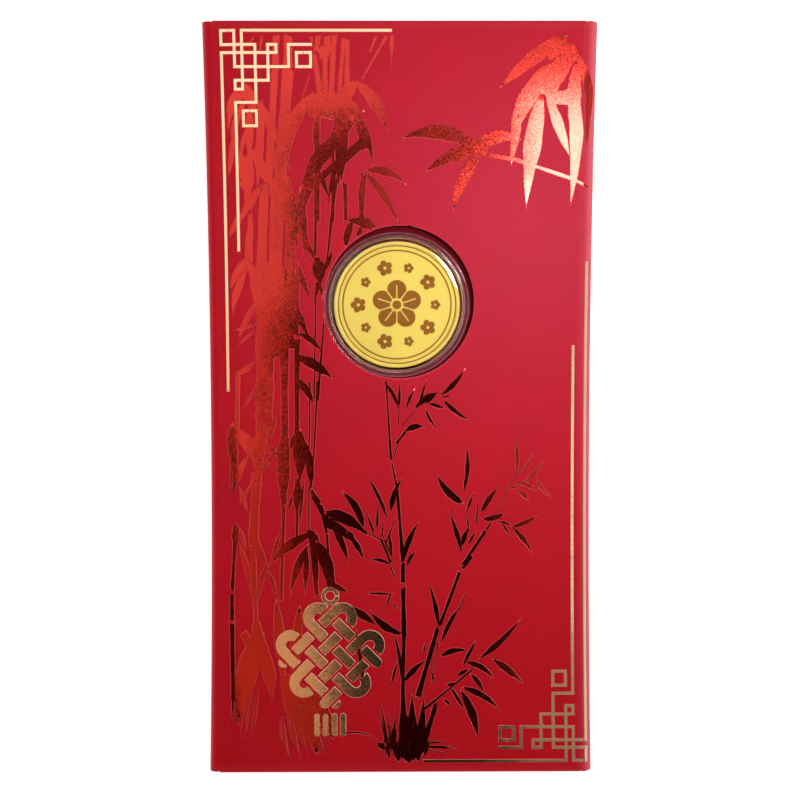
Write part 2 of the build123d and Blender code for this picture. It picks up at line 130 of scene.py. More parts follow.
def outline_of(ids):
    """The numbers round the edge of a grid of point numbers."""
    return np.concatenate([ids[:-1, 0], ids[-1, :-1], ids[:0:-1, -1], ids[0, :0:-1]])


def edge_wall(loop, under):
    """Quads between a closed row of points and the points below, whose numbers are higher by under."""
    after = np.roll(loop, -1)
    return np.stack([loop, after, after + under, loop + under], axis=-1)


def make_piece(name, points, faces, material, body=None, stands_for=(), sharp=40, values=None):
    """A mesh object from points in millimetres and faces, either one array of quads or a list of rows."""
    faces = [list(f) for f in (faces.tolist() if isinstance(faces, np.ndarray) else faces)]
    used, flat = np.unique(np.concatenate([np.asarray(f) for f in faces]), return_inverse=True)
    ends = np.cumsum([len(f) for f in faces])
    rows = [list(map(int, r)) for r in np.split(flat, ends[:-1])]
    mesh = bpy.data.meshes.new(name)
    mesh.from_pydata((np.asarray(points).reshape(-1, 3)[used] * MM).tolist(), [], rows)
    for key, value in (values or {}).items():
        layer = mesh.attributes.new(key, "FLOAT", "POINT")
        layer.data.foreach_set("value", np.asarray(value, np.float32).ravel()[used])
    mesh.shade_smooth()
    mesh.set_sharp_from_angle(angle=radians(sharp))
    mesh.materials.append(material)
    piece = bpy.data.objects.new(name, mesh)
    bpy.context.scene.collection.objects.link(piece)
    if body:
        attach(piece, body)
    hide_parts(*stands_for)
    print(name, len(used), "points", len(rows), "faces")
    return piece


# %% [markdown]
# Materials are node trees. One function adds a node, sets its fields and sets or links its inputs. Small
# ones built on it give what comes up often, so each material below reads as a short list. Colours are
# written as sRGB hex codes and turned to linear light by one function. Sizes of patterns are in
# millimetres.

# %% Node and colour helpers
def linear(code):
    """Linear RGBA of an sRGB hex code."""
    c = np.array([int(code[i : i + 2], 16) for i in (0, 2, 4)]) / 255
    c = np.where(c <= 0.04045, c / 12.92, ((c + 0.055) / 1.055) ** 2.4)
    return (*c.tolist(), 1.0)


def add(tree, kind, inputs=None, **fields):
    """A node with its fields set by name. An input, by label or number, is linked from a socket or set."""
    node = tree.nodes.new(kind)
    for key, value in fields.items():
        setattr(node, key, value)
    for key, value in (inputs or {}).items():
        if isinstance(value, bpy.types.NodeSocket):
            tree.links.new(value, node.inputs[key])
        else:
            node.inputs[key].default_value = value
    return node


def new_material(name):
    """A node material without nodes, its tree and a socket with object coordinates."""
    material = bpy.data.materials.new(name)
    material.use_nodes = True
    tree = material.node_tree
    tree.nodes.clear()
    return material, tree, add(tree, "ShaderNodeTexCoord").outputs["Object"]


def mark(tree, name):
    """A value that the mesh carries at its points."""
    return add(tree, "ShaderNodeAttribute", attribute_name=name).outputs["Fac"]


def noise(tree, place, size, detail=2.0, roughness=0.5):
    """Soft noise with blotches about size millimetres wide."""
    inputs = {"Vector": place, "Scale": 1 / (size * MM), "Detail": detail, "Roughness": roughness}
    return add(tree, "ShaderNodeTexNoise", inputs).outputs["Fac"]


def cell_noise(tree, place, size):
    """Cells about size millimetres wide: a colour for each, and the distance from its middle."""
    return add(tree, "ShaderNodeTexVoronoi", {"Vector": place, "Scale": 1 / (size * MM)}).outputs


def remap(tree, value, low, high, first, last, ease="LINEAR"):
    """A value stretched from the range low to high onto the range first to last, and held there."""
    inputs = {"Value": value, "From Min": low, "From Max": high, "To Min": first, "To Max": last}
    return add(tree, "ShaderNodeMapRange", inputs, interpolation_type=ease).outputs[0]


def mix(tree, share, first, second, blend="MIX"):
    """Two colours mixed by a share."""
    inputs = {0: share, 6: first, 7: second}
    return add(tree, "ShaderNodeMix", inputs, data_type="RGBA", blend_type=blend).outputs[2]


def maths(tree, operation, *terms, kind="ShaderNodeMath"):
    """One step of arithmetic on its terms."""
    return add(tree, kind, dict(enumerate(terms)), operation=operation).outputs[0]


def bumped(tree, height, strength, depth):
    """Normals of a surface that height presses in, depth millimetres deep."""
    inputs = {"Height": height, "Strength": strength, "Distance": depth * MM}
    return add(tree, "ShaderNodeBump", inputs).outputs[0]


def surface(tree, inputs):
    """The surface shader, and the material's output."""
    shader = add(tree, "ShaderNodeBsdfPrincipled", inputs)
    add(tree, "ShaderNodeOutputMaterial", {"Surface": shader.outputs[0]})


# %% [markdown]
# The card is dyed through, calendered and matte. Its fibres show as a faint mottling less than a millimetre
# wide, and along creases and cut edges the dye is rubbed lighter. A band round the right fold is painted
# lighter as well, a painted sheen where that fold faces the lamps. Those places come as a mesh attribute.

# %% Dyed card
FIBRE, CLOUD = 0.7, 14.0


def dyed_card(name, code, wear_and_sheen_code, sheen):
    """Card whose dye varies with its fibres and with a slow cloudiness, and is lighter where the mesh marks
    wear and, on the right fold, a painted sheen."""
    material, tree, place = new_material(name)
    fibre = noise(tree, place, FIBRE, 4.0, 0.65)
    tone = maths(tree, "ADD", fibre, noise(tree, place, CLOUD))
    dyed = mix(tree, 1.0, linear(code), remap(tree, tone, 0.6, 1.4, 0.9, 1.08), "MULTIPLY")
    inputs = {
        # lighter where worn, and on the right fold a painted sheen
        "Base Color": mix(tree, mark(tree, "wear_and_sheen"), dyed, linear(wear_and_sheen_code)),
        "Roughness": 0.5,
        "Specular IOR Level": sheen,
        "Specular Tint": linear("FFBCFF"),
        "Normal": bumped(tree, fibre, 0.12, 0.05),
    }
    surface(tree, inputs)
    return material


red_card = dyed_card("dyed_red_card", "CE0A12", "E86A7C", 0.36)
# painted shade: the carrier is red card made dark, for the shaded recess round the capsule
shaded_carrier_card = dyed_card("red_card_painted_shade", "6E0408", "8A2A36", 0.08)

# %% [markdown]
# Hot-stamped foil is a vapour-coated metal film under a tinted lacquer, pressed into the card. It mirrors,
# but the card's grain presses through as tiny facets that lean up to about half a degree either way, so a
# bright reflection breaks up into specks at its edge. On the flanks of the stamping the film is stretched
# and duller, and it is painted pale there: a painted glint for the bright line that a flank catches. The
# lacquer adds a clear coat. Red and gold foil differ in their tint, and a little in their grain.

# %% Stamped foil
FACET, SLACK = 0.3, 9.0
FLANK_DULL, FLANK_GLINT_PAINT = 0.45, 0.36  # roughness, and share of painted glint colour, at the foot of a flank
LACQUER = 0.45  # share of clear coat on the flat film


def stamped_foil(name, code, deep_code, flank_glint_code, roughness, grain):
    """Foil whose facets lean by up to half of grain each way, over the slack waves of the film."""
    material, tree, place = new_material(name)
    facets = cell_noise(tree, place, FACET)
    slack = noise(tree, place, SLACK, 1.0)
    vectors = "ShaderNodeVectorMath"
    lean = maths(tree, "SUBTRACT", facets["Color"], (0.5, 0.5, 0.5), kind=vectors)
    wavy = bumped(tree, slack, 0.2, 0.3)
    pressed = maths(tree, "MULTIPLY_ADD", lean, (grain, grain, grain), wavy, kind=vectors)
    rim = mark(tree, "rim")
    rough = remap(tree, facets["Distance"], 0, 0.7, 0.7 * roughness, 1.3 * roughness)
    dull = maths(tree, "MAXIMUM", rough, remap(tree, rim, 0, 0.15, 0, FLANK_DULL))
    # painted glint: the flanks take a pale colour, for the bright line they catch
    painted_glint = remap(tree, rim, 0, 0.3, 0, FLANK_GLINT_PAINT)
    film = mix(tree, slack, linear(code), linear(deep_code))
    inputs = {
        "Base Color": mix(tree, painted_glint, film, linear(flank_glint_code)),
        "Metallic": maths(tree, "SUBTRACT", 1.0, painted_glint),
        "Roughness": dull,
        "Normal": maths(tree, "NORMALIZE", pressed, kind=vectors),
        "Coat Weight": remap(tree, rim, 0, 0.15, LACQUER, 1.0),
        "Coat Roughness": dull,
    }
    surface(tree, inputs)
    return material


# the third colour of each foil is the flank's painted glint
red_foil = stamped_foil("red_stamping_foil", "D03024", "C0241C", "F46C7C", 0.11, 0.023)
gold_foil = stamped_foil("gold_stamping_foil", "FBD8B4", "F4CBA0", "FFEEE2", 0.12, 0.015)

# %% [markdown]
# The sleeve is the blank from the left fold over the front and the right fold to the free edge of the back.
# It needs a round window. A grid of straight lines covers the blank, a square of its cells round the window
# is left out, and rings that change from the window's circle to that square fill it. An inner layer one
# card thickness below, and a wall round each edge, close the sheet.

# %% Sleeve
WINDOW_S, WINDOW_Y, WINDOW_R = -0.21, 22.79, 17.1
NICK_ANGLE, NICK_SPAN, NICK_DEPTH = radians(81.5), radians(1.3), 0.3  # left by the cutting die
BLOCK = 21.0  # half the side of the square round the window
FOLD_STEP, FRONT_STEP, BLOCK_STEP, BACK_STEP, LONG_STEP = 0.33, 1.4, 1.0, 3.5, 2.0
FOLD_BEFORE, FOLD_EASE, FOLD_LONGER = 0.5, 0.7, 0.38  # the folds have no crease, so they run on further
CLOSE = 0.01
RING_REACH = np.array([0.0, 0.05, 0.12, 0.4, 1.0, 1.9, 2.8])  # rings round the window: how far out,
RING_DROP = np.array([0.1, 0.03, 0, 0, 0, 0, 0])  # how far below the card's face
RING_WORN = np.array([0.8, 0.5, 0.2, 0, 0, 0, 0])  # and how worn
LEAST_REACH = 3.2
CREASE_WORN, CREASE_BAND = 0.08, 0.6
ROLL_SHEEN, ROLL_AT, ROLL_SPAN = 0.72, 0.65, 0.5  # the band of painted sheen on the right fold: its strength, and where and how wide, in radians round it
INSIDE_WEAR_AND_SHEEN = 0.5  # most wear and painted sheen on the inner layer


def span(low, high, step):
    """Evenly spaced values from low to high, about step apart."""
    return np.linspace(low, high, max(2, int(round((high - low) / step)) + 1))


def joined(*parts):
    """Rows of values that meet end to end, each end kept once."""
    return np.concatenate([parts[0], *[p[1:] for p in parts[1:]]])


s_lines = joined(
    span(S_LEFT, LEFT_X, FOLD_STEP),
    span(LEFT_X, WINDOW_S - BLOCK, FRONT_STEP),
    span(WINDOW_S - BLOCK, WINDOW_S + BLOCK, BLOCK_STEP),
    span(WINDOW_S + BLOCK, RIGHT_X, FRONT_STEP),
    span(RIGHT_X, S_BACK, FOLD_STEP),
    span(S_BACK, S_RIGHT, BACK_STEP),
)
y_lines = joined(
    span(-PANEL_END, WINDOW_Y - BLOCK, LONG_STEP),
    span(WINDOW_Y - BLOCK, WINDOW_Y + BLOCK, BLOCK_STEP),
    span(WINDOW_Y + BLOCK, PANEL_END, LONG_STEP),
)
s_grid, y_grid = np.meshgrid(s_lines, y_lines, indexing="ij")
over_back = np.clip((s_grid - RIGHT_X) / (S_BACK - RIGHT_X), 0, 1)
y_grid = y_grid * (1 - over_back * (1 - BACK_END / PANEL_END))
past_front = np.maximum(s_grid - RIGHT_X + FOLD_BEFORE, LEFT_X + FOLD_BEFORE - s_grid)
y_grid = y_grid * (1 + np.clip(past_front / FOLD_EASE, 0, 1) * FOLD_LONGER / PANEL_END)


def in_block(lines, middle):
    """Which gaps between lines belong to the square round the window."""
    return (lines[:-1] > middle - BLOCK - CLOSE) & (lines[1:] < middle + BLOCK + CLOSE)


in_s, in_y = in_block(s_lines, WINDOW_S), in_block(y_lines, WINDOW_Y)
number = np.arange(s_grid.size).reshape(s_grid.shape)
i0, i1 = np.flatnonzero(in_s)[[0, -1]] + [0, 1]
j0, j1 = np.flatnonzero(in_y)[[0, -1]] + [0, 1]
border = outline_of(number[i0 : i1 + 1, j0 : j1 + 1])
corner_s, corner_y = s_grid.ravel()[border], y_grid.ravel()[border]
way = np.arctan2(corner_y - WINDOW_Y, corner_s - WINDOW_S)
nick = NICK_DEPTH * np.exp(-(((way - NICK_ANGLE) / NICK_SPAN) ** 2))
hole_s = WINDOW_S + (WINDOW_R + nick) * np.cos(way)
hole_y = WINDOW_Y + (WINDOW_R + nick) * np.sin(way)
reach = np.hypot(corner_s - hole_s, corner_y - hole_y)
share = RING_REACH[:, None] / np.maximum(reach, LEAST_REACH)[None, :]
ring_s = hole_s + (corner_s - hole_s) * share
ring_y = hole_y + (corner_y - hole_y) * share
ring_number = s_grid.size + np.arange(ring_s.size).reshape(ring_s.shape)
ring_number = np.vstack([ring_number, border[None, :]])


def grid_then_rings(on_rings):
    """Values of all outer points: nothing on the grid, and one value for each ring."""
    return np.concatenate([np.zeros(s_grid.size), np.repeat(on_rings, ring_s.shape[1])])


outer_s = np.concatenate([s_grid.ravel(), ring_s.ravel()])
outer_y = np.concatenate([y_grid.ravel(), ring_y.ravel()])
count = outer_s.size
outer_points = wrap(outer_s, outer_y, -grid_then_rings(RING_DROP))
inner_points = wrap(outer_s, outer_y, np.full(count, -CARD))
flat_cells = grid_quads(number)[~(in_s[:, None] & in_y[None, :]).ravel()]
skin = np.concatenate([flat_cells[:, ::-1], ring_quads(ring_number)])
walls = np.concatenate([edge_wall(outline_of(number), count)[:, ::-1], edge_wall(ring_number[0], count)])
near_crease = np.clip(1 - (PANEL_END - np.abs(outer_y)) / CREASE_BAND, 0, 1)
right_turn = (outer_s - RIGHT_X) / RIGHT_R
# painted sheen: a lighter band round the right fold, where it faces the lamps
roll_sheen = np.exp(-(((right_turn - ROLL_AT) / ROLL_SPAN) ** 2)) * ROLL_SHEEN
wear_and_sheen = np.clip(CREASE_WORN * near_crease + roll_sheen + grid_then_rings(RING_WORN), 0, 1)
make_piece(
    "card_sleeve",
    np.concatenate([outer_points, inner_points]),
    np.concatenate([skin, skin[:, ::-1] + count, walls]),
    red_card,
    "sleeve",
    ("front_panel", "right_fold", "left_fold", "back_panel"),
    values={"wear_and_sheen": np.concatenate([wear_and_sheen, np.clip(wear_and_sheen, 0, INSIDE_WEAR_AND_SHEEN)])},
)

# %% [markdown]
# At both ends the card turns over a rounded crease into a narrow spine and a flap. A strip is a path in the
# y-z plane carried across the envelope: quarter circles at the creases, straight runs between. The closed
# flap opens, so at the top the spine and the flap are two pieces, and each crease belongs to the piece
# after it.

# %% Spines and flaps
FLAP_CORNER = 9.0
EDGE_GAP = 0.3
BEND_WORN = 0.1
ACROSS = np.linspace(-1, 1, 33)
TINY = 1e-6


def quarter(y, z, start, steps=8):
    """Points and outward directions of a quarter circle of crease radius about (y, z), from an angle on."""
    a = radians(start) + np.linspace(0, pi / 2, steps)
    ways = np.stack([np.cos(a), np.sin(a)], axis=-1)
    return np.array([y, z]) + CREASE_R * ways, ways


def run(y0, z0, y1, z1, steps, outward):
    """Points of a straight run and its outward direction, the first point left out."""
    t = np.linspace(0, 1, steps + 1)[1:, None]
    points = np.array([y0, z0]) + t * (np.array([y1, z1]) - np.array([y0, z0]))
    return points, np.tile(np.array(outward, float), (steps, 1))


def card_strip(name, parts, end, flap_end, body, nodes):
    """A strip of card along a path of (points, outward directions), mirrored to the top or bottom end by
    its sign. Its width follows the panel, and shrinks by a circle's arc near the flap's free end."""
    path = np.concatenate([p[0] for p in parts])
    out = np.concatenate([p[1] for p in parts])
    new = np.append(True, np.linalg.norm(np.diff(path, axis=0), axis=1) > TINY)
    (y, z), out = path[new].T, out[new]
    half = np.full(len(y), (RIGHT_X - LEFT_X) / 2 - EDGE_GAP)
    if flap_end is not None:
        d = np.where(z < CLOSE, np.abs(y - flap_end), FLAP_CORNER)
        near = np.clip(FLAP_CORNER - d, 0, FLAP_CORNER)
        half = half - FLAP_CORNER + np.sqrt(FLAP_CORNER**2 - near**2)
    x = (RIGHT_X + LEFT_X) / 2 + half[:, None] * ACROSS[None, :]
    x = x * pull(y)[:, None]

    def layer(depth):
        yy = np.broadcast_to((end * (-(y - depth * out[:, 0])))[:, None], x.shape)
        zz = np.broadcast_to((z - depth * out[:, 1])[:, None], x.shape)
        return np.stack([x, yy, zz], axis=-1).reshape(-1, 3)

    ids = np.arange(x.size).reshape(x.shape)
    top = grid_quads(ids)
    wall = edge_wall(outline_of(ids), x.size)
    faces = np.concatenate([top, top[:, ::-1] + x.size, wall[:, ::-1]])
    bent = np.abs(np.abs(out).max(axis=1) - 1) > TINY
    wear_and_sheen = np.where(bent[:, None], BEND_WORN, np.zeros(x.shape))
    wear_and_sheen[:, [0, -1]] += BEND_WORN
    return make_piece(
        name,
        np.concatenate([layer(0.0), layer(CARD)]),
        faces if end < 0 else faces[:, ::-1],
        red_card,
        body,
        nodes,
        values={"wear_and_sheen": np.tile(wear_and_sheen.ravel(), 2)},
    )


# Paths are drawn for the bottom end, where y is negative, and mirrored for the top
BOTTOM_FREE, TOP_FREE = -57.0, -41.0
front_turn = quarter(-PANEL_END, FRONT - CREASE_R, 90)
spine_run = run(-HALF_LENGTH, FRONT - CREASE_R, -HALF_LENGTH, CREASE_R, 6, (-1, 0))
back_turn = quarter(-PANEL_END, CREASE_R, 180)


def flap_run(free):
    """The flat flap: coarse rows, then fine ones where its corners round off."""
    flat = run(-PANEL_END, 0, free - FLAP_CORNER, 0, 8, (0, -1))
    y = free - FLAP_CORNER + FLAP_CORNER * np.sin(np.linspace(0, pi / 2, 15)[1:])
    return flat, (np.stack([y, np.zeros_like(y)], axis=-1), np.tile([0.0, -1.0], (len(y), 1)))


bottom_path = [front_turn, spine_run, back_turn, *flap_run(BOTTOM_FREE)]
card_strip("bottom_card", bottom_path, -1, BOTTOM_FREE, "sleeve", ("bottom_spine", "bottom_flap"))
top_spine = card_strip("top_spine_card", [front_turn, spine_run], 1, None, None, ("top_spine",))
top_flap = card_strip("top_flap_card", [back_turn, *flap_run(TOP_FREE)], 1, TOP_FREE, None, ("top_flap",))
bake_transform(top_spine)
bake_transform(top_flap)

# %% [markdown]
# The photograph looks almost straight down, a little from the top end. The camera stands where lines
# through the envelope's corners meet, 320 mm up. What is stamped freely on the card is laid out in the
# picture's pixels, so a function follows the line of sight through a pixel down to the card and gives the
# place on the blank there.

# %% Camera
PICTURE = 800
CAMERA = np.array([-2.28, 23.79, 320.0])
TILT, SWING, ROLL = radians(4.17), radians(0.40), radians(0.09)
LENS, SENSOR = 63.03, 36.0
FOCAL = LENS / SENSOR * PICTURE
PIXEL = (CAMERA[2] - FRONT) / FOCAL  # width of a pixel on the card

camera_data = bpy.data.cameras.new("camera")
camera_data.lens, camera_data.sensor_width = LENS, SENSOR
camera_data.clip_start, camera_data.clip_end = 0.01, 20.0
camera = bpy.data.objects.new("camera", camera_data)
turn = Matrix.Rotation(ROLL, 3, "Z") @ Matrix.Rotation(SWING, 3, "Y") @ Matrix.Rotation(TILT, 3, "X")
camera.matrix_world = Matrix.Translation(Vector(CAMERA) * MM) @ turn.transposed().to_4x4()
bpy.context.scene.collection.objects.link(camera)
bpy.context.scene.camera = camera


def card_place(pixels):
    """Blank place (s, y) seen at picture pixels: the ray from the camera, cut where it meets the front's
    plane."""
    p = np.asarray(pixels, float)
    ray = np.stack([p[:, 0] - PICTURE / 2, PICTURE / 2 - p[:, 1], np.full(len(p), -FOCAL)], axis=-1)
    ray = ray @ np.array(turn)
    x, y = (CAMERA[:2] + ray[:, :2] / ray[:, 2:] * (FRONT - CAMERA[2])).T
    return np.stack([x / pull(y), y], axis=-1)


# %% [markdown]
# Foil is drawn as pads: a flat top with a chamfer round it, which catches the light as a thin bright line.
# A pad has a spine of points with five columns across it: the foot of the chamfer, its top edge, the
# middle, and the same again. All tops lie within a hair of one height, so pads that overlap show as one
# stamped shape.

# %% Foil pads
RED_FOIL, GOLD_FOIL = 0.13, 0.16  # gold is stamped last, over the red
CHAMFER = 0.16
LINE_CHAMFER = 0.08  # of the thin gold lines
LEAST_TOP = 0.4  # share of a narrow pad's width that stays flat
SUNK = -0.02  # the foot lies just under the card's face
HAIR = 0.012  # tops differ by up to this much, so that no two faces fall together
NUDGE = 0.002  # a step to either side of a corner
THIN_END = 0.02  # half width at a round end
COLUMNS = 5
rng = np.random.default_rng(7)


def pad_points(spine, side, outer, top, chamfer):
    """Blank points (s, y, h) of pads: from each spine point along its side direction by minus outer, minus
    inner, nothing, inner and outer, with the heights foot, top, top, top and foot. Inner is outer less the
    chamfer, but at least a share of outer."""
    inner = np.maximum(outer - chamfer, LEAST_TOP * outer)
    reach = np.stack([-outer, -inner, 0 * outer, inner, outer], axis=-1)
    foot = np.full_like(top, SUNK)
    h = np.stack([foot, top, top, top, foot], axis=-1)
    p = spine[..., None, :] + reach[..., None] * side[..., None, :]
    return np.concatenate([p, h[..., None]], axis=-1)


def pad_mesh(grids):
    """Points, faces and a mark on the rims of closed pads, from arrays of points: row by row, five in each,
    for one pad or for several of the same number of rows."""
    points, faces, rims, start = [], [], [], 0
    for grid in grids:
        grid = grid[None] if grid.ndim == 3 else grid
        pads, rows = grid.shape[:2]
        ids = start + np.arange(pads * rows * COLUMNS).reshape(pads, rows, COLUMNS)
        under = grid_quads(ids[..., [0, -1]])[:, [0, 3, 2, 1]]
        ends = ids[:, 0, ::-1].tolist() + ids[:, -1, :].tolist()
        faces += grid_quads(ids).tolist() + under.tolist() + ends
        raised = grid[..., 2] > HAIR
        lift = rng.uniform(0, HAIR, (pads, 1, 1)) * raised
        rims.append(1.0 - raised.ravel())
        points.append(wrap(grid[..., 0], grid[..., 1], grid[..., 2] + lift).reshape(-1, 3))
        start += ids.size
    return np.concatenate(points), faces, np.concatenate(rims)


def foil_piece(name, grids, foil, node):
    """One foil piece on the sleeve from its pads."""
    points, faces, rims = pad_mesh(grids)
    make_piece(name, points, faces, foil, "sleeve", (node,), sharp=20, values={"rim": rims})


def ribbon(path, width, round_ends=(False, False), step=1.2, chamfer=CHAMFER):
    """A gold pad along a bent path. Corners are mitred: the side direction there is the sum of the two
    legs' sides over one plus their product. An end is square, or round by the half width's circle."""
    path = np.asarray(path, float)
    half = width / 2
    leg = np.diff(path, axis=0)
    corner = np.concatenate([[0], np.cumsum(np.linalg.norm(leg, axis=1))])
    cap = half * (1 - np.cos(np.linspace(0.1, pi / 2, 7)))
    rows = [span(a, b, step) for a, b in zip(corner[:-1], corner[1:])]
    rows += [np.array([chamfer, corner[-1] - chamfer])]
    rows += [cap if round_ends[0] else [], corner[-1] - cap if round_ends[1] else []]
    d = np.unique(np.round(np.concatenate(rows), 3).clip(0, corner[-1]))
    spine = np.stack([np.interp(d, corner, path[:, k]) for k in (0, 1)], axis=-1)
    normal = np.stack([leg[:, 1], -leg[:, 0]], axis=-1) / np.linalg.norm(leg, axis=1)[:, None]
    before = normal[np.clip(np.searchsorted(corner, d - NUDGE) - 1, 0, len(leg) - 1)]
    after = normal[np.clip(np.searchsorted(corner, d + NUDGE) - 1, 0, len(leg) - 1)]
    side = (before + after) / (1 + (before * after).sum(axis=1))[:, None]
    outer, top = np.full(len(d), half), np.full(len(d), GOLD_FOIL)
    for is_round, gone in zip(round_ends, (d, corner[-1] - d)):
        if is_round:
            off = np.clip(half - gone, 0, half)
            outer = np.minimum(outer, np.sqrt(np.maximum(half**2 - off**2, THIN_END**2)))
        top = np.minimum(top, SUNK + (GOLD_FOIL - SUNK) * np.clip(gone / chamfer, 0, 1))
    return pad_points(spine, side, outer, top, chamfer)


# %% [markdown]
# The corner fretwork is a set of lines between nine levels. Each path is a row of corners, two letters
# each, the level across and then the level down from the corner. The lower right one is the upper left one
# turned by half a turn, and its outer line lies on the rolled side, which wrap() takes care of.

# %% Gold fretwork
GOLD_LINE = 0.75
FLAT_STEP, ROLLED_STEP = 1.5, 0.35  # rows are closer where lines lie on the rolled side
FRET_WIDE, FRET_TALL = 20.6, 21.7
FRET_SHARES = dict(a=0.019, b=0.161, c=0.242, d=0.384, e=0.521, f=0.611, g=0.744, h=0.829, k=0.981)
FRET_PATHS = (
    "aa ba bb ab aa", "ab db dg bg", "ba bd gd gb kb", "cf ca", "fc ac", "eb fb fc", "eb ee be",
    "be bf cf", "hc kc kd hd hc", "ch dh dk ck ch",
)


def fret(corner, sign, short, outer, inner):
    """Ribbons of one corner, with its border lines: the short one, the outer one and the inner one, as long
    as given. Each open end is longer by half a line, so that lines meet square. A closed square starts and
    ends in the middle of a side."""
    wide = {k: v * FRET_WIDE for k, v in FRET_SHARES.items()}
    tall = {k: v * FRET_TALL for k, v in FRET_SHARES.items()}
    paths = [[(wide[p[0]], tall[p[1]]) for p in path.split()] for path in FRET_PATHS]
    paths.append([(wide["c"], tall["a"]), (short, tall["a"])])
    paths.append([(wide["a"], tall["c"]), (wide["a"], outer)])
    paths.append([(wide["b"], tall["g"]), (wide["b"], inner)])
    made = []
    for path in paths:
        p = np.array(path)
        if np.allclose(p[0], p[-1]):
            middle = (p[0] + p[1]) / 2
            p = np.array([middle, *p[1:], middle])
        else:
            p[0] -= (p[1] - p[0]) / np.linalg.norm(p[1] - p[0]) * GOLD_LINE / 2
            p[-1] += (p[-1] - p[-2]) / np.linalg.norm(p[-1] - p[-2]) * GOLD_LINE / 2
        flat = np.array(corner) + sign * p * np.array([1, -1])
        step = ROLLED_STEP if sign < 0 else FLAT_STEP
        made.append(ribbon(flat, GOLD_LINE, step=step, chamfer=LINE_CHAMFER))
    return made


upper = fret((-40.1, 83.2), 1, short=38.0, outer=80.1, inner=48.7)
lower = fret((43.1, -82.7), -1, short=37.7, outer=114.3, inner=95.5)
foil_piece("fret_top_left", upper, gold_foil, "gold_fret_top_left")
foil_piece("fret_bottom_right", lower, gold_foil, "gold_fret_bottom_right")

# %% [markdown]
# The gold emblem is an endless knot, a traditional charm. Four strands run each way on a frame turned by 45
# degrees. Where a strand goes under another, it stops a little short on each side, so the weave can be read
# in flat foil. Loops join the strands in pairs, and a ring and a tassel finish it.

# %% Gold knot
KNOT_X, KNOT_Y = -16.3, -58.0
CORD, CORD_PITCH, CORD_GAP = 2.5, 4.5, 0.45
STRANDS = 4
places = (np.arange(STRANDS) - (STRANDS - 1) / 2) * CORD_PITCH
END = places[-1] + CORD / 2 + 0.5
STOP = CORD / 2 + CORD_GAP
KNOT_REACH = (END + places[-1] + CORD) * cos(radians(45))
KNOT_RING, KNOT_RING_WIDTH = 1.6, 1.1
TASSEL_PITCH, TASSEL_LENGTH, TASSEL_WIDTH = 2.0, 5.5, 1.5


def turned(points):
    """Knot frame to blank: a turn by 45 degrees and a shift."""
    p = np.asarray(points, float)
    r = np.sqrt(0.5)
    return np.stack([KNOT_X + r * (p[:, 0] - p[:, 1]), KNOT_Y + r * (p[:, 0] + p[:, 1])], axis=-1)


def strand_runs(k, upright):
    """Where strand k shows: the stretches between the crossings at which it goes under."""
    under = [places[m] for m in range(STRANDS) if ((k + m) % 2 == 0) == upright]
    cuts = [-END] + [v for u in under for v in (u - STOP, u + STOP)] + [END]
    return list(zip(cuts[::2], cuts[1::2]))


def cord(path, upright, free=False):
    """A pad along a path of (along, across) places, which an upright strand has the other way round."""
    path = [p[::-1] for p in path] if upright else path
    return ribbon(turned(path), CORD, (free, False))


def loop(k, runs):
    """Path that joins strands k and k + 1: a half circle past their ends, and their last runs."""
    at, last, inward = (1, -1, 0) if k % 2 == 0 else (-1, 0, 1)
    middle = (places[k] + places[k + 1]) / 2
    half_turn = np.linspace(-pi / 2, pi / 2, 17)
    bend = [(at * (END + CORD_PITCH / 2 * cos(v)), middle + CORD_PITCH / 2 * sin(v)) for v in half_turn]
    return [(runs[k][last][inward], places[k]), *bend, (runs[k + 1][last][inward], places[k + 1])]


knot_pads = []
for upright in (False, True):
    runs = [strand_runs(k, upright) for k in range(STRANDS)]
    knot_pads += [cord(loop(k, runs), upright) for k in range(STRANDS - 1)]
    for k in range(STRANDS):
        for n, (low, high) in enumerate(runs[k]):
            in_loop = n == len(runs[k]) - 1 or (n == 0 and k in (1, 2))
            if not in_loop:
                low = low - CORD / 2 if n == 0 else low
                knot_pads.append(cord([(low, places[k]), (high, places[k])], upright, n == 0))

ring_angle = np.linspace(0, 2 * pi, 41)
knot_ring_x = KNOT_X + KNOT_RING * np.cos(ring_angle)
knot_ring_y = KNOT_Y + KNOT_REACH + KNOT_RING + KNOT_RING * np.sin(ring_angle)
knot_pads.append(ribbon(np.stack([knot_ring_x, knot_ring_y], axis=-1), KNOT_RING_WIDTH))
for k in range(4):
    x = KNOT_X + (k - 1.5) * TASSEL_PITCH
    y = KNOT_Y - KNOT_REACH - CORD_GAP
    knot_pads.append(ribbon([(x, y), (x, y - TASSEL_LENGTH)], TASSEL_WIDTH, (True, True)))
foil_piece("endless_knot", knot_pads, gold_foil, "gold_knot")

# %% [markdown]
# Bamboo, the old ink-painting subject, in red foil. It is painted stroke by stroke, so it is laid out so
# here: a leaf is pressed and lifted, thin at both ends; a culm is drawn with a flat brush, blunt at its
# nodes; a tuft is one press of a worn brush, whose hairs part. The tables give where a stroke starts and
# ends in the picture, its width there, and for leaves how far it bulges to the right of its way, as a share
# of its length. For tufts they give the number of hairs.

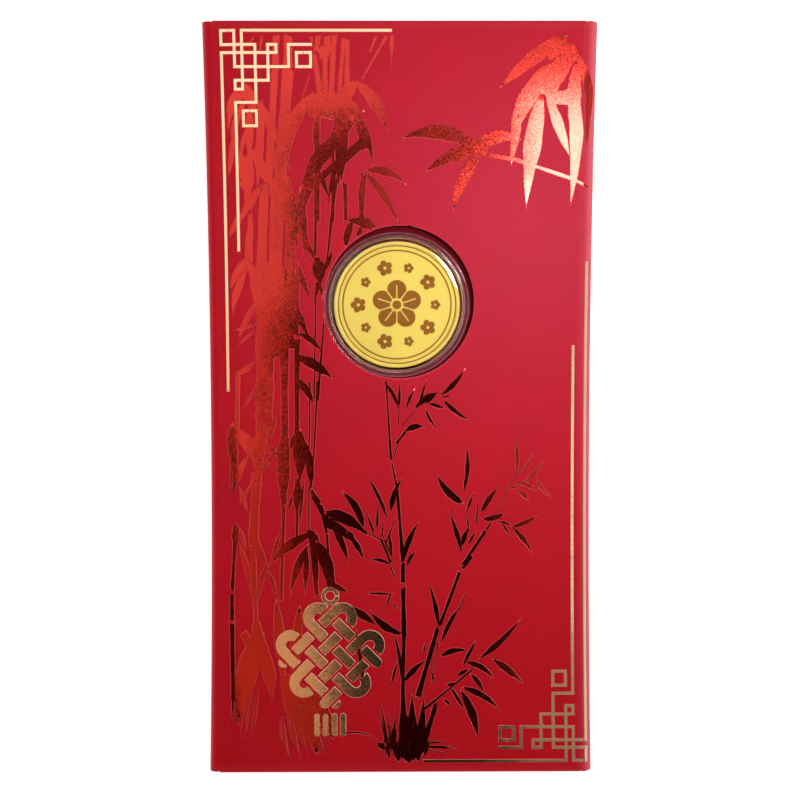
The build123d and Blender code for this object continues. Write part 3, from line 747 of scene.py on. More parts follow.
# %% Bamboo strokes
GROVE_CULMS_PX = (
    (268, 328, 274, 358, 14, 14), (347, 112, 339, 134, 26, 18), (339, 130, 312, 176, 12, 11),
    (312, 174, 300, 212, 12, 10), (357, 114, 365, 150, 10, 8), (362, 142, 318, 180, 9, 9),
    (318, 116, 318, 222, 5, 5), (333, 150, 333, 222, 4, 4), (345, 182, 346, 222, 6, 5),
    (278, 176, 286, 224, 22, 34), (364, 172, 361, 224, 8, 6), (233, 428, 262, 470, 8, 7),
    (233, 438, 236, 482, 10, 7), (262, 470, 240, 502, 5, 3), (312, 494, 330, 525, 6, 9),
    (328, 522, 353, 538, 14, 9), (311, 532, 317, 596, 7, 6), (314, 536, 331, 587, 9, 8),
    (330, 585, 346, 591, 7, 5), (276, 36, 275, 67, 7, 8), (275, 68, 268, 182, 7, 9),
    (288, 36, 288, 67, 9, 11), (288, 68, 279, 192, 12, 13), (264, 188, 260, 300, 9, 13),
    (277, 190, 274, 300, 13, 17), (291, 194, 290, 300, 10, 13), (263, 262, 262, 350, 11, 14),
    (272, 258, 271, 338, 12, 13), (281, 264, 280, 356, 13, 12), (290, 268, 289, 346, 11, 12),
    (297, 276, 296, 336, 7, 8), (266, 344, 264, 420, 21, 19), (284, 344, 285, 440, 11, 8),
    (297, 336, 297, 440, 8, 6), (264, 419, 257, 470, 16, 11), (257, 470, 253, 546, 11, 11),
    (253, 545, 256, 624, 7, 5), (285, 438, 284, 506, 10, 6), (284, 505, 281, 602, 5, 5),
    (297, 478, 297, 541, 6, 4), (310, 380, 309, 461, 3, 3), (318, 380, 313, 467, 4, 3),
    (313, 466, 309, 492, 3, 3), (309, 489, 309, 533, 3, 3), (317, 150, 315, 257, 7, 4),
    (336, 178, 327, 262, 6, 3), (316, 282, 314, 400, 3, 3), (326, 290, 318, 400, 3, 4),
    (334, 36, 331, 94, 6, 6), (325, 52, 325, 94, 5, 7), (344, 36, 339, 96, 5, 5), (347, 40, 347, 86, 5, 6),
    (318, 36, 316, 52, 6, 6), (327, 36, 329, 54, 8, 9), (321, 46, 325, 58, 9, 12), (314, 54, 320, 90, 5, 7),
    (387, 35, 361, 80, 4, 2), (376, 36, 370, 51, 4, 2), (392, 36, 391, 66, 5, 1), (262, 36, 259, 52, 3, 2),
    (254, 36, 247, 47, 3, 2), (311, 36, 313, 47, 3, 2), (309, 76, 299, 109, 2, 2),
    (311, 490, 320, 504, 5, 7), (320, 503, 327, 534, 6, 4), (327, 533, 329, 564, 4, 4),
    (329, 563, 334, 587, 4, 6), (236, 528, 232, 592, 6, 5), (232, 594, 232, 621, 6, 6),
    (232, 624, 233, 701, 7, 5), (233, 700, 231, 732, 4, 1), (238, 373, 237, 430, 5, 5),
    (250, 212, 250, 262, 5, 6),
)
GROVE_LEAVES_PX = (
    (298, 106, 366, 112, 28, -0.05), (314, 92, 288, 166, 13, 0.12), (329, 88, 290, 172, 9, 0.2),
    (327, 90, 317, 162, 7, 0.08), (332, 90, 340, 186, 12, -0.07), (353, 80, 387, 131, 13, -0.1),
    (358, 80, 332, 114, 14, 0.04), (308, 104, 362, 110, 17, -0.04), (351, 106, 373, 167, 9, -0.07),
    (342, 134, 300, 192, 14, 0.07), (354, 112, 330, 152, 14, 0.02), (367, 144, 340, 170, 7, 0.08),
    (338, 158, 328, 206, 6, 0.02), (364, 171, 407, 186, 9, -0.14), (364, 171, 398, 222, 9, -0.05),
    (365, 171, 363, 223, 8, 0.05), (356, 128, 366, 148, 6, -0.05), (378, 230, 345, 221, 11, 0.1),
    (353, 221, 346, 250, 9, 0.08), (361, 225, 357, 246, 6, 0), (320, 176, 300, 214, 7, 0.05),
    (318, 168, 330, 200, 6, 0), (251, 86, 226, 114, 12, 0.1), (243, 82, 257, 114, 13, 0),
    (253, 96, 279, 152, 10, -0.06), (246, 99, 231, 142, 8, 0.05), (250, 102, 249, 164, 9, 0),
    (356, 114, 311, 180, 14, 0.03), (342, 116, 338, 188, 10, 0), (262, 98, 257, 192, 9, 0),
    (240, 148, 252, 216, 10, 0), (286, 176, 298, 250, 12, 0), (300, 186, 306, 262, 10, 0),
    (240, 90, 228, 132, 7, 0.07), (257, 148, 237, 184, 10, 0.05), (253, 154, 270, 188, 13, -0.05),
    (252, 160, 245, 208, 9, 0), (263, 184, 239, 226, 9, 0.05), (235, 132, 228, 178, 7, 0),
    (234, 176, 254, 198, 6, 0), (247, 126, 239, 160, 5, 0), (270, 140, 284, 190, 9, 0),
    (252, 218, 245, 270, 7, 0), (251, 256, 230, 292, 9, 0.08), (248, 266, 232, 318, 8, 0.06),
    (249, 270, 257, 324, 7, -0.05), (245, 260, 264, 296, 10, -0.05), (243, 212, 228, 238, 8, 0),
    (259, 326, 233, 350, 3, 0), (257, 324, 232, 331, 4, 0), (255, 361, 232, 374, 6, -0.1),
    (258, 300, 238, 342, 6, 0.04), (262, 380, 242, 410, 4, 0), (296, 218, 319, 266, 8, 0.03),
    (317, 256, 321, 286, 14, 0), (332, 250, 315, 278, 6, -0.1), (322, 274, 313, 304, 6, 0),
    (319, 282, 329, 314, 5, 0), (290, 296, 310, 340, 9, 0), (296, 332, 323, 353, 7, -0.08),
    (294, 356, 333, 379, 12, -0.06), (296, 378, 314, 404, 9, -0.05), (298, 262, 312, 300, 7, 0.05),
    (233, 422, 233, 467, 9, 0.05), (235, 427, 257, 456, 8, -0.05), (240, 434, 264, 450, 7, 0),
    (248, 456, 232, 496, 7, 0.05), (231, 452, 231, 506, 3, 0), (239, 486, 249, 516, 4, 0),
    (278, 450, 261, 476, 6, 0.05), (260, 446, 281, 459, 8, -0.1), (276, 416, 269, 442, 5, 0),
    (284, 428, 283, 512, 15, 0), (300, 428, 300, 484, 15, 0), (298, 430, 289, 452, 7, 0),
    (303, 438, 311, 492, 10, -0.05), (270, 564, 284, 521, 4, 0), (288, 512, 294, 490, 4, 0),
    (304, 478, 299, 530, 4, 0), (299, 476, 296, 516, 9, 0), (321, 512, 369, 537, 13, -0.1),
    (329, 520, 349, 565, 8, -0.05), (345, 530, 365, 562, 7, -0.05), (364, 529, 341, 490, 8, 0.1),
    (316, 532, 267, 568, 11, 0.08), (309, 543, 290, 598, 9, 0.05), (307, 546, 305, 598, 7, 0),
    (314, 538, 317, 598, 8, 0), (314, 538, 334, 592, 11, -0.08), (308, 529, 316, 545, 11, 0),
    (325, 584, 349, 594, 6, -0.1), (366, 593, 396, 594, 4, 0), (236, 522, 235, 552, 9, 0),
    (239, 543, 252, 602, 6, -0.04), (240, 528, 246, 552, 5, 0), (267, 564, 258, 604, 6, 0.05),
    (267, 570, 277, 600, 5, -0.05), (251, 526, 270, 572, 9, 0.04),
)
SPRAY_CULMS_PX = (
    (567, 44, 571, 64, 14, 27), (569, 42, 546, 55, 16, 15), (566, 58, 543, 97, 20, 22),
    (577, 64, 573, 96, 9, 18), (550, 98, 577, 97, 16, 17), (574, 92, 575, 150, 16, 11),
    (460, 139, 486, 151, 11, 11), (452, 153, 480, 148, 10, 10), (471, 160, 482, 146, 10, 10),
    (489, 155, 512, 159, 5, 5), (511, 158, 570, 178, 5, 5), (569, 177, 588, 187, 5, 4),
)
SPRAY_LEAVES_PX = (
    (568, 35, 499, 89, 16, 0.04), (573, 48, 588, 128, 10, -0.1), (588, 84, 586, 150, 7, -0.02),
    (560, 60, 511, 142, 20, 0.09), (519, 112, 511, 166, 10, 0), (543, 88, 526, 209, 18, 0.02),
    (546, 90, 571, 160, 12, 0), (575, 84, 570, 207, 14, -0.03), (477, 147, 401, 139, 16, 0.14),
    (482, 149, 426, 172, 14, 0.08), (482, 149, 453, 211, 13, 0.06), (474, 152, 522, 140, 15, -0.18),
)
SHOOT_CULMS_PX = (
    (386, 380, 391, 460, 3, 4), (392, 463, 397, 488, 3, 4), (397, 487, 403, 562, 4, 6),
    (403, 563, 403, 583, 6, 6), (403, 586, 404, 634, 6, 7), (404, 633, 403, 688, 6, 5),
    (462, 566, 486, 530, 5, 5), (486, 530, 491, 522, 4, 3), (496, 513, 509, 487, 2, 2),
    (509, 487, 516, 474, 2, 2), (472, 556, 462, 569, 5, 5), (460, 571, 440, 625, 5, 5),
    (438, 627, 418, 696, 6, 7), (423, 710, 473, 669, 4, 3), (402, 426, 414, 411, 2, 2),
    (393, 460, 398, 444, 2, 3), (353, 524, 381, 540, 2, 3), (381, 539, 391, 563, 4, 4),
    (438, 641, 432, 682, 3, 2), (403, 686, 403, 758, 5, 12), (436, 704, 421, 752, 6, 9),
    (396, 444, 406, 431, 4, 4), (398, 426, 399, 408, 2, 2),
)
SHOOT_LEAVES_PX = (
    (399, 410, 381, 379, 5, 0.08), (399, 409, 400, 379, 4, 0), (406, 410, 416, 387, 4, -0.05),
    (418, 409, 427, 378, 4, 0), (414, 410, 442, 392, 7, -0.1), (440, 396, 466, 367, 6, 0.06),
    (443, 399, 471, 421, 6, 0.06), (425, 408, 439, 432, 4, 0.05), (428, 403, 447, 409, 5, 0),
    (404, 432, 426, 427, 7, -0.12), (436, 394, 424, 405, 5, 0), (442, 397, 452, 396, 3, 0),
    (363, 528, 340, 491, 8, 0.1), (388, 521, 365, 473, 5, 0.04), (375, 536, 366, 510, 4, 0),
    (377, 531, 378, 502, 4, 0), (391, 513, 403, 477, 7, -0.08), (389, 531, 393, 565, 4, 0),
    (391, 565, 369, 560, 5, 0.1), (403, 563, 420, 520, 7, -0.06), (407, 567, 417, 550, 5, -0.1),
    (384, 548, 396, 516, 3, 0), (381, 540, 384, 520, 3, 0), (392, 558, 380, 528, 3, 0),
    (465, 504, 437, 474, 9, -0.1), (463, 493, 466, 443, 6, 0.06), (466, 513, 474, 491, 4, 0),
    (462, 555, 448, 509, 6, 0.03), (462, 547, 470, 525, 6, -0.05), (476, 527, 478, 500, 3, 0),
    (481, 513, 500, 486, 7, -0.05), (482, 519, 506, 512, 7, 0.08), (496, 522, 513, 527, 4, -0.1),
    (511, 527, 539, 514, 6, 0.06), (511, 526, 534, 555, 6, -0.04), (502, 523, 511, 537, 4, 0),
    (516, 476, 514, 433, 5, 0.05), (521, 476, 533, 451, 4, 0.05), (525, 482, 545, 458, 6, 0.05),
    (517, 482, 536, 492, 5, -0.1), (537, 478, 553, 497, 5, 0.12), (517, 490, 530, 503, 5, -0.08),
    (507, 489, 524, 485, 3, 0), (468, 545, 476, 530, 4, 0), (466, 512, 470, 536, 3, 0),
    (439, 629, 428, 580, 6, 0.03), (441, 644, 462, 604, 6, -0.05), (458, 612, 467, 590, 3, 0),
    (440, 657, 469, 651, 7, -0.12), (462, 667, 477, 638, 5, 0), (477, 660, 523, 616, 7, 0.04),
    (491, 658, 525, 685, 8, -0.03), (464, 662, 495, 680, 7, -0.12), (461, 687, 500, 710, 8, -0.08),
    (460, 689, 478, 740, 10, -0.06), (470, 673, 485, 694, 6, -0.05), (443, 698, 454, 708, 4, 0),
    (450, 686, 466, 712, 5, 0), (456, 676, 470, 668, 5, 0), (445, 686, 458, 682, 4, 0),
    (403, 683, 427, 659, 7, -0.05), (404, 634, 370, 609, 9, -0.12), (402, 686, 392, 627, 5, 0.04),
    (397, 662, 390, 689, 4, 0), (423, 656, 426, 640, 3, 0), (430, 670, 437, 685, 3, 0),
    (392, 590, 384, 612, 3, 0), (396, 580, 388, 560, 3, 0), (398, 612, 392, 600, 3, 0),
    (402, 762, 404, 688, 10, 0), (408, 763, 412, 692, 11, 0.02), (416, 758, 424, 694, 9, 0.02),
    (406, 763, 407, 712, 13, 0), (413, 762, 416, 716, 12, 0), (395, 758, 395, 716, 6, -0.03),
    (421, 752, 426, 722, 6, 0), (399, 763, 394, 734, 8, 0), (418, 762, 419, 734, 9, 0),
    (409, 764, 409, 740, 10, 0), (424, 757, 430, 738, 5, 0), (390, 760, 386, 741, 5, 0),
)
SHOOT_TUFTS_PX = (
    (406, 736, 404, 763, 40, 46, 22), (393, 752, 389, 700, 8, 20, 8), (420, 746, 461, 747, 5, 14, 6),
)
GROWTH_CULMS_PX = (
    (256, 622, 259, 652, 8, 22), (243, 632, 250, 644, 8, 12),
)
GROWTH_LEAVES_PX = (
    (264, 632, 239, 722, 25, 0.06), (258, 640, 272, 700, 15, -0.05), (282, 672, 318, 756, 30, -0.04),
    (292, 684, 334, 741, 20, -0.1), (330, 739, 387, 749, 3, -0.2), (276, 598, 284, 690, 12, 0),
    (300, 604, 292, 690, 12, 0), (350, 606, 378, 626, 9, 0), (356, 628, 366, 700, 6, 0),
    (386, 749, 376, 742, 7, 0),
)
GROWTH_TUFTS_PX = (
    (250, 684, 241, 748, 18, 22, 9), (298, 712, 312, 764, 36, 48, 14),
)


# %% [markdown]
# Each stroke becomes one pad. A brush wavers and lifts off unevenly, so a stroke's width gets two slow
# sines and a culm's blunt ends are ragged. Where a stroke would run into the window, the cutting die has
# cut it off, so its points are moved out to the window's edge.

# %% Bamboo pads
TIP = 0.03  # half width to which a leaf thins out
LEAF_POWER = 0.8  # below one, a leaf is widest before its middle
LEAF_WAVER, CULM_WAVER = ((0.06, 9), (0.05, 21)), ((0.05, 11), (0.04, 29))  # size and rate of the sines
CULM_WAIST = 0.4
RAGGED_WIDTHS, RAGGED_LENGTHS, RAGGED_ZONE = 0.45, 0.09, 0.12  # of a culm's ends, as shares
HAIR_STRAY, HAIR_BEND, HAIR_LENGTH, HAIR_WIDTH = 0.03, 0.05, (0.55, 1.0), (1.5, 4.0)
WINDOW_EDGE = 0.35  # foil keeps this far from the window


def clear_of_window(grid):
    """Points inside the window move out to its edge, and their height to the card's face."""
    ds, dy = grid[..., 0] - WINDOW_S, grid[..., 1] - WINDOW_Y
    far = np.hypot(ds, dy)
    edge = WINDOW_R + WINDOW_EDGE
    scale = np.where(far < edge, edge / np.maximum(far, CLOSE), 1)
    h = np.where(far < edge, SUNK, grid[..., 2])
    return np.stack([WINDOW_S + ds * scale, WINDOW_Y + dy * scale, h], axis=-1)


def stroke_rows(spine, outer, top, along=0.0):
    """Pads of whole strokes from their middle lines: the side direction is the line's own, turned to the
    right. Columns may be shifted along the stroke, for ragged ends."""
    way = np.gradient(spine, axis=1)
    way = way / np.linalg.norm(way, axis=-1)[..., None]
    side = np.stack([way[..., 1], -way[..., 0]], axis=-1)
    grid = pad_points(spine, side, outer, top, CHAMFER)
    grid[..., :2] += np.asarray(along)[..., None] * way[..., None, :]
    return clear_of_window(grid)


def waver(u, phases, sines):
    """A brush's unevenness along u: one plus two sines, each given by its size and its rate."""
    return 1 + sum(size * np.sin(rate * u + phase) for (size, rate), phase in zip(sines, phases))


def leaf_pads(table):
    """Leaves: along u from 0 to 1 the half width is the sine of pi times a power of u, with a brush's
    waver, and the middle line is the chord plus the bulge times 4u(1 - u)."""
    table = np.asarray(table, float)
    base, tip = card_place(table[:, 0:2]), card_place(table[:, 2:4])
    u = np.linspace(0, 1, 19)
    chord = (tip - base)[:, None, :]
    right = np.stack([chord[..., 1], -chord[..., 0]], axis=-1)
    bulge = table[:, 5, None, None] * (4 * u * (1 - u))[:, None] * right
    spine = base[:, None, :] + u[:, None] * chord + bulge
    phases = rng.uniform(0, 2 * pi, (2, len(table), 1))
    half = table[:, 4, None] * PIXEL / 2 * np.sin(pi * u**LEAF_POWER) * waver(u, phases, LEAF_WAVER)
    outer = np.maximum(half, TIP)
    return stroke_rows(spine, outer, SUNK + (RED_FOIL - SUNK) * np.clip((outer - TIP) / CHAMFER, 0, 1))


def culm_pads(table):
    """Culms: the half width runs from one end's to the other's, flares a little at both, and wavers. At
    each end the left, middle and right of the brush lift off at different places."""
    table = np.asarray(table, float)
    base, tip = card_place(table[:, 0:2]), card_place(table[:, 2:4])
    length = np.linalg.norm(tip - base, axis=1)[:, None]
    near = CHAMFER / length
    u = np.concatenate([0 * near, near + (1 - 2 * near) * np.linspace(0, 1, 17), 1 + 0 * near], axis=1)
    spine = base[:, None, :] + u[..., None] * (tip - base)[:, None, :]
    phases = rng.uniform(0, 2 * pi, (2, len(table), 1))
    flared = waver(u, phases, CULM_WAVER) - CULM_WAIST * u * (1 - u)
    outer = (table[:, 4, None] * (1 - u) + table[:, 5, None] * u) * PIXEL / 2 * flared
    top = np.full(outer.shape, RED_FOIL)
    top[:, [0, -1]] = SUNK
    uneven = rng.uniform(-1, 1, (2, len(table), 1, 3))[..., [0, 0, 1, 2, 2]]
    widest = table[:, 4:6].max(axis=1)
    reach = np.minimum(RAGGED_WIDTHS * widest * PIXEL, RAGGED_LENGTHS * length[:, 0])[:, None, None]
    start, end = (np.clip(1 - v / RAGGED_ZONE, 0, 1)[..., None] for v in (u, 1 - u))
    return stroke_rows(spine, outer, top, reach * (start * uneven[0] + end * uneven[1]))


def tuft_rows(table):
    """Rows for leaf_pads: the hairs of a worn brush, spread over one width at the start, another at the
    end."""
    rows = []
    for x0, y0, x1, y1, wide0, wide1, hairs in table:
        way = np.array([x1 - x0, y1 - y0]) / np.hypot(x1 - x0, y1 - y0)
        right = np.array([-way[1], way[0]])
        share = np.linspace(-0.5, 0.5, hairs) + rng.uniform(-HAIR_STRAY, HAIR_STRAY, hairs)
        start = np.array([x0, y0]) + np.outer(share * wide0, right)
        reach = rng.uniform(*HAIR_LENGTH, hairs) * np.hypot(x1 - x0, y1 - y0)
        end = start + reach[:, None] * way + np.outer(share * (wide1 - wide0), right)
        width = rng.uniform(*HAIR_WIDTH, hairs)
        bend = rng.uniform(-HAIR_BEND, HAIR_BEND, hairs)
        rows += np.concatenate([start, end, width[:, None], bend[:, None]], axis=1).tolist()
    return rows


for name, culms, leaves, tufts, node in (
    ("grove_foil", GROVE_CULMS_PX, GROVE_LEAVES_PX, (), "bamboo_grove"),
    ("spray_foil", SPRAY_CULMS_PX, SPRAY_LEAVES_PX, (), "bamboo_spray"),
    ("shoots_foil", SHOOT_CULMS_PX, SHOOT_LEAVES_PX, SHOOT_TUFTS_PX, "bamboo_shoots"),
    ("growth_foil", GROWTH_CULMS_PX, GROWTH_LEAVES_PX, GROWTH_TUFTS_PX, "bamboo_growth"),
):
    grids = [culm_pads(culms), leaf_pads([*leaves, *tuft_rows(tufts)])]
    foil_piece(name, grids, red_foil, node)

# %% [markdown]
# The coin is struck: a raised rim, two fine rings and a plum blossom with a wreath of small ones. Its face
# is a polar grid whose height is a sum of soft steps. The motif's mask also goes into an attribute, because
# struck relief on such coins is frosted and darker than the satin field.

# %% Coin shape
CAPSULE_X, CAPSULE_Y = -0.75, 22.25
COIN_R, COIN_LOW, COIN_HIGH = 14.0, 3.7, 5.5
COIN_TURNS, COIN_MILLS = 400, 100
COIN_MIDDLE = 0.12  # radius of the innermost ring of points
RIM_R, RIM_RISE = 13.35, 0.15
FINE_RINGS, RING_CUT = ((12.1, 0.16), (13.1, 0.14)), 0.04  # radius and half width of each, and their depth
PETAL_AT, PETAL_R, MOTIF_RISE = 3.4, 2.15, 0.07
VEIN, VEIN_FROM, VEIN_TO = 0.14, 1.6, 4.4
EYE_R, EYE_GAP = 1.0, 1.5  # the blossom's middle, and where its petals start
FACE_R, BEVEL, BEVEL_DROP, EDGE_ROUND, MILL_DEPTH = 13.85, 0.05, 0.04, 0.12, 0.03
WREATH, WREATH_R, BIG_BLOSSOM, SMALL_BLOSSOM = 10, 8.6, 1.75, 1.15
BACK_PROFILE = ((13.95, 0.04), (13.8, 0.0), (13.4, 0.0), (13.2, 0.12), (8.0, 0.12), (COIN_MIDDLE, 0.12))


def step_up(value, edge, soft=0.12):
    """A soft step from 0 below the edge to 1 above it."""
    t = np.clip((value - edge) / soft + 0.5, 0, 1)
    return t * t * (3 - 2 * t)


def blossom(x, y, size, turn):
    """Mask of a five-petalled blossom: a circle whose radius swells five times round it, with a hole in the
    middle."""
    r, a = np.hypot(x, y), np.arctan2(y, x) - turn
    petal = size * (0.62 + 0.38 * np.abs(np.cos(2.5 * a)) ** 0.6)
    return (1 - step_up(r, petal)) * step_up(r, 0.2 * size)


def coin_face(x, y):
    """Height and motif mask of the struck face."""
    r = np.hypot(x, y)
    rings = sum(1 - step_up(np.abs(r - ring), half) for ring, half in FINE_RINGS)
    petals = [(PETAL_AT * cos(v), PETAL_AT * sin(v)) for v in pi / 2 + np.arange(5) * 2 * pi / 5]
    big = np.max([1 - step_up(np.hypot(x - px, y - py), PETAL_R) for px, py in petals], axis=0)
    veins = np.max([1 - step_up(np.abs((x * py - y * px) / PETAL_AT), VEIN) for px, py in petals], axis=0)
    big = big * (1 - veins * (r > VEIN_FROM) * (r < VEIN_TO)) * step_up(r, EYE_GAP)
    motif = np.maximum(big, 1 - step_up(r, EYE_R))
    for k in range(WREATH):
        v = pi / 2 + (k + 0.5) * 2 * pi / WREATH
        size = BIG_BLOSSOM if k % 2 == 0 else SMALL_BLOSSOM
        motif = np.maximum(motif, blossom(x - WREATH_R * cos(v), y - WREATH_R * sin(v), size, v))
    height = RIM_RISE * step_up(r, RIM_R, 0.2) + MOTIF_RISE * motif - RING_CUT * np.clip(rings, 0, 1)
    return height, np.clip(motif + rings, 0, 1)


def round_axis(r, z, turns):
    """Rings of points: radii and heights, one row each or one for every point, turned about the axis."""
    a = np.arange(turns) / turns * 2 * pi
    r, z = np.broadcast_arrays(r, z, np.empty(turns))[:2]
    return np.stack([r * np.cos(a), r * np.sin(a), z], axis=-1)


def coin_points():
    """Rings from the middle of the face over the milled edge to the middle of the back."""
    a = np.arange(COIN_TURNS) / COIN_TURNS * 2 * pi
    r = np.append(np.linspace(COIN_MIDDLE, FACE_R, 120), COIN_R - BEVEL)[:, None]
    height, motif = coin_face(r * np.cos(a), r * np.sin(a))
    top = round_axis(r, COIN_HIGH - RIM_RISE + height, COIN_TURNS)
    top[-1, :, 2] -= BEVEL_DROP
    mill = COIN_R - MILL_DEPTH * (0.5 + 0.5 * np.cos(COIN_MILLS * a))
    side = round_axis(mill, np.array([[COIN_HIGH - EDGE_ROUND], [COIN_LOW + EDGE_ROUND]]), COIN_TURNS)
    back_r, back_z = np.array(BACK_PROFILE).T[..., None]
    back = round_axis(back_r, back_z + COIN_LOW, COIN_TURNS)
    plain = np.zeros((len(side) + len(back), COIN_TURNS))
    return np.concatenate([top, side, back]), np.concatenate([motif, plain])


def closed_lathe(rows):
    """Points and faces of rings, each closed on itself, with a fan to a middle point at each end."""
    n, turns = rows.shape[:2]
    ids = np.arange(n * turns).reshape(n, turns)
    after = np.roll(ids, -1, axis=1)
    first, last = np.full(turns, n * turns), np.full(turns, n * turns + 1)
    front_fan = np.stack([first, ids[0], after[0]], axis=-1)
    back_fan = np.stack([last, after[-1], ids[-1]], axis=-1)
    points = np.concatenate([rows.reshape(-1, 3), rows[0].mean(axis=0)[None], rows[-1].mean(axis=0)[None]])
    return points, ring_quads(ids).tolist() + front_fan.tolist() + back_fan.tolist()


# %% [markdown]
# Gilding on a struck coin is a thin layer of gold. The field is satin, so it shows a broad, even yellow,
# and the frosted relief is deeper and duller.

# %% Coin finish
def gilt():
    """Satin gold, darker and duller on the struck motif."""
    material, tree, place = new_material("satin_gilding")
    motif = mark(tree, "motif")
    inputs = {
        "Base Color": mix(tree, motif, linear("DECE5E"), linear("8E5C0E")),
        "Roughness": remap(tree, motif, 0, 1, 0.6, 0.7),
        "Normal": bumped(tree, noise(tree, place, 0.25, 3.0), 0.2, 0.03),
        "Metallic": 0.2,
        "Specular IOR Level": 0.3,
    }
    surface(tree, inputs)
    return material


coin_rows, coin_mask = coin_points()
coin_xyz, coin_faces = closed_lathe(coin_rows + np.array([CAPSULE_X, CAPSULE_Y, 0]))
make_piece(
    "struck_coin",
    coin_xyz,
    coin_faces,
    gilt(),
    "coin",
    ("coin",),
    sharp=50,
    values={"motif": np.append(coin_mask.ravel(), [1.0, 0.0])},
)

# %% [markdown]
# The capsule is injection-moulded polystyrene in two halves. Each half is a profile turned round the axis,
# with small rounds at its rims, because those are what draw the bright circles. Clear plastic bends light,
# so its shader transmits, and the pieces cast no shadow, so that the lamps still reach the coin as they do
# through thin plastic.

# %% Capsule
CAPSULE_LOW = 2.7
CAPSULE_TURNS = 160
MOULD_ROUND, MOST_CUT = 0.22, 0.45  # a round takes at most this share of a run
RUN_ON, FAINT = 1.1, 0.3


def rounded(profile, radius, steps=4):
    """A profile of (radius, height, haze) with each inner corner replaced by a short quadratic curve, which
    keeps the corner's haze. A point just before and just after each curve keeps the straight runs flat,
    with a part of the fainter haze of their two ends."""
    p = np.asarray(profile, float)
    out = [np.append(p[0, :2], 0)[None]]
    for (*a, before), (*b, haze), (*c, after) in zip(p[:-2], p[1:-1], p[2:]):
        a, b, c = np.array(a), np.array(b), np.array(c)
        to_a, to_c = a - b, c - b
        la, lc = np.linalg.norm(to_a), np.linalg.norm(to_c)
        cut = min(radius, MOST_CUT * la, MOST_CUT * lc)
        s, e = b + to_a / la * cut, b + to_c / lc * cut
        t = np.linspace(0, 1, steps + 1)[:, None]
        curve = (1 - t) ** 2 * s + 2 * t * (1 - t) * b + t**2 * e
        points = np.concatenate([[b + RUN_ON * (s - b)], curve, [b + RUN_ON * (e - b)]])
        faint = FAINT * min(before, haze), FAINT * min(haze, after)
        marks = np.concatenate([faint[:1], np.full(len(curve), haze), faint[1:]])
        out.append(np.column_stack([points, marks]))
    return np.concatenate([*out, np.append(p[-1, :2], 0)[None]])


def clear_plastic():
    """Clear plastic with a faint unevenness from moulding. Where it is hazy it is milky, and tinted pink as
    a painted reflection of the red card round it.
    """
    material, tree, place = new_material("clear_polystyrene")
    haze = mark(tree, "haze")
    inputs = {
        # painted reflection: the hazy rims are tinted with the red card's pink
        "Base Color": mix(tree, remap(tree, haze, 0, 0.1, 0, 1), linear("F4F0F4"), linear("D49CAC")),
        "Roughness": remap(tree, noise(tree, place, 6), 0, 1, 0.015, 0.05),
        "Transmission Weight": maths(tree, "SUBTRACT", 1.0, haze),
        "IOR": 1.49,
    }
    surface(tree, inputs)
    return material


polystyrene = clear_plastic()
BASE_PROFILE = (  # radius, height and haze of each corner
    (0.2, 1.0, 0), (14.6, 1.0, 0), (14.6, 2.95, 0), (15.1, 2.95, 0),
    (15.1, 2.0, 0), (16.2, 2.0, 0.05), (16.2, 0.0, 0.05), (0.2, 0.0, 0),
)
LID_PROFILE = (
    (0.2, 4.6, 0), (12.9, 4.6, 0), (13.4, 4.58, 0), (13.85, 4.545, 0), (14.25, 4.49, 0),
    (14.68, 4.39, 0), (14.85, 4.0, 0.12), (16.2, 4.0, 0.16),
    (16.2, 2.1, 0.05), (15.2, 2.1, 0), (15.2, 3.05, 0), (0.2, 3.05, 0),
)
for name, profile, body, node in (
    ("clear_base", BASE_PROFILE, "sleeve", "capsule_base"),
    ("clear_lid", LID_PROFILE, "lid", "capsule_lid"),
):
    smooth = rounded(profile, MOULD_ROUND)
    rings = round_axis(smooth[:, :1], smooth[:, 1:2], CAPSULE_TURNS)
    shell, faces = closed_lathe(rings + np.array([CAPSULE_X, CAPSULE_Y, CAPSULE_LOW]))
    haze = {"haze": np.append(np.repeat(smooth[:, 2], CAPSULE_TURNS), [0, 0])}
    half = make_piece(name, shell, faces, polystyrene, body, (node,), sharp=60, values=haze)
    half.visible_shadow = False

# %% [markdown]
# The pieces inside keep their CAD shapes and get finishes: the carrier is red card painted darker, a
# painted shade for the recess under the window; foam tape is white with small cells, and glue and the
# adhesive pad are off-white and smoother, each cell with painted shade in its hollow middle. Little of
# them can be seen.

# %% Inner pieces
def soft_white(name, code, cell, roughness):
    """A pale material of cells, with painted shade in the hollow middle of each."""
    material, tree, place = new_material(name)
    depth = cell_noise(tree, place, cell)["Distance"]
    inputs = {
        # painted shade: each cell is darker in its middle, where the bump makes a hollow
        "Base Color": mix(tree, 1.0, linear(code), remap(tree, depth, 0, 1, 0.75, 1.0), "MULTIPLY"),
        "Normal": bumped(tree, depth, 0.4, 0.2 * cell),
        "Roughness": roughness,
    }
    surface(tree, inputs)
    return material


foam = soft_white("polyethylene_foam", "F2F1EC", 0.5, 0.8)
adhesive = soft_white("acrylic_adhesive", "E6E0D2", 0.9, 0.35)
for node, material in (
    ("side_glue_tab", red_card),
    ("side_glue_line", adhesive),
    ("bottom_glue_line", adhesive),
    ("coin_carrier", shaded_carrier_card),
    ("foam_tape_left", foam),
    ("foam_tape_right", foam),
    ("adhesive_disc", adhesive),
):
    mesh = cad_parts[node].data
    mesh.materials.clear()
    mesh.materials.append(material)
print("finishes on CAD nodes set")

# %% [markdown]
# Light makes the foil. Flat foil seen from above mirrors whatever hangs over it, so the ceiling is dark and
# soft boxes hang where their mirror images fall: along the top, on the left of the grove, dimmer at the
# lower left, and down the right edge. A small bright key lamp over the right half lights the card, and the
# spray lamp shows as cream in the spray. Low lamps at the sides and a long one at the foot draw bright
# lines on chamfers and folds.

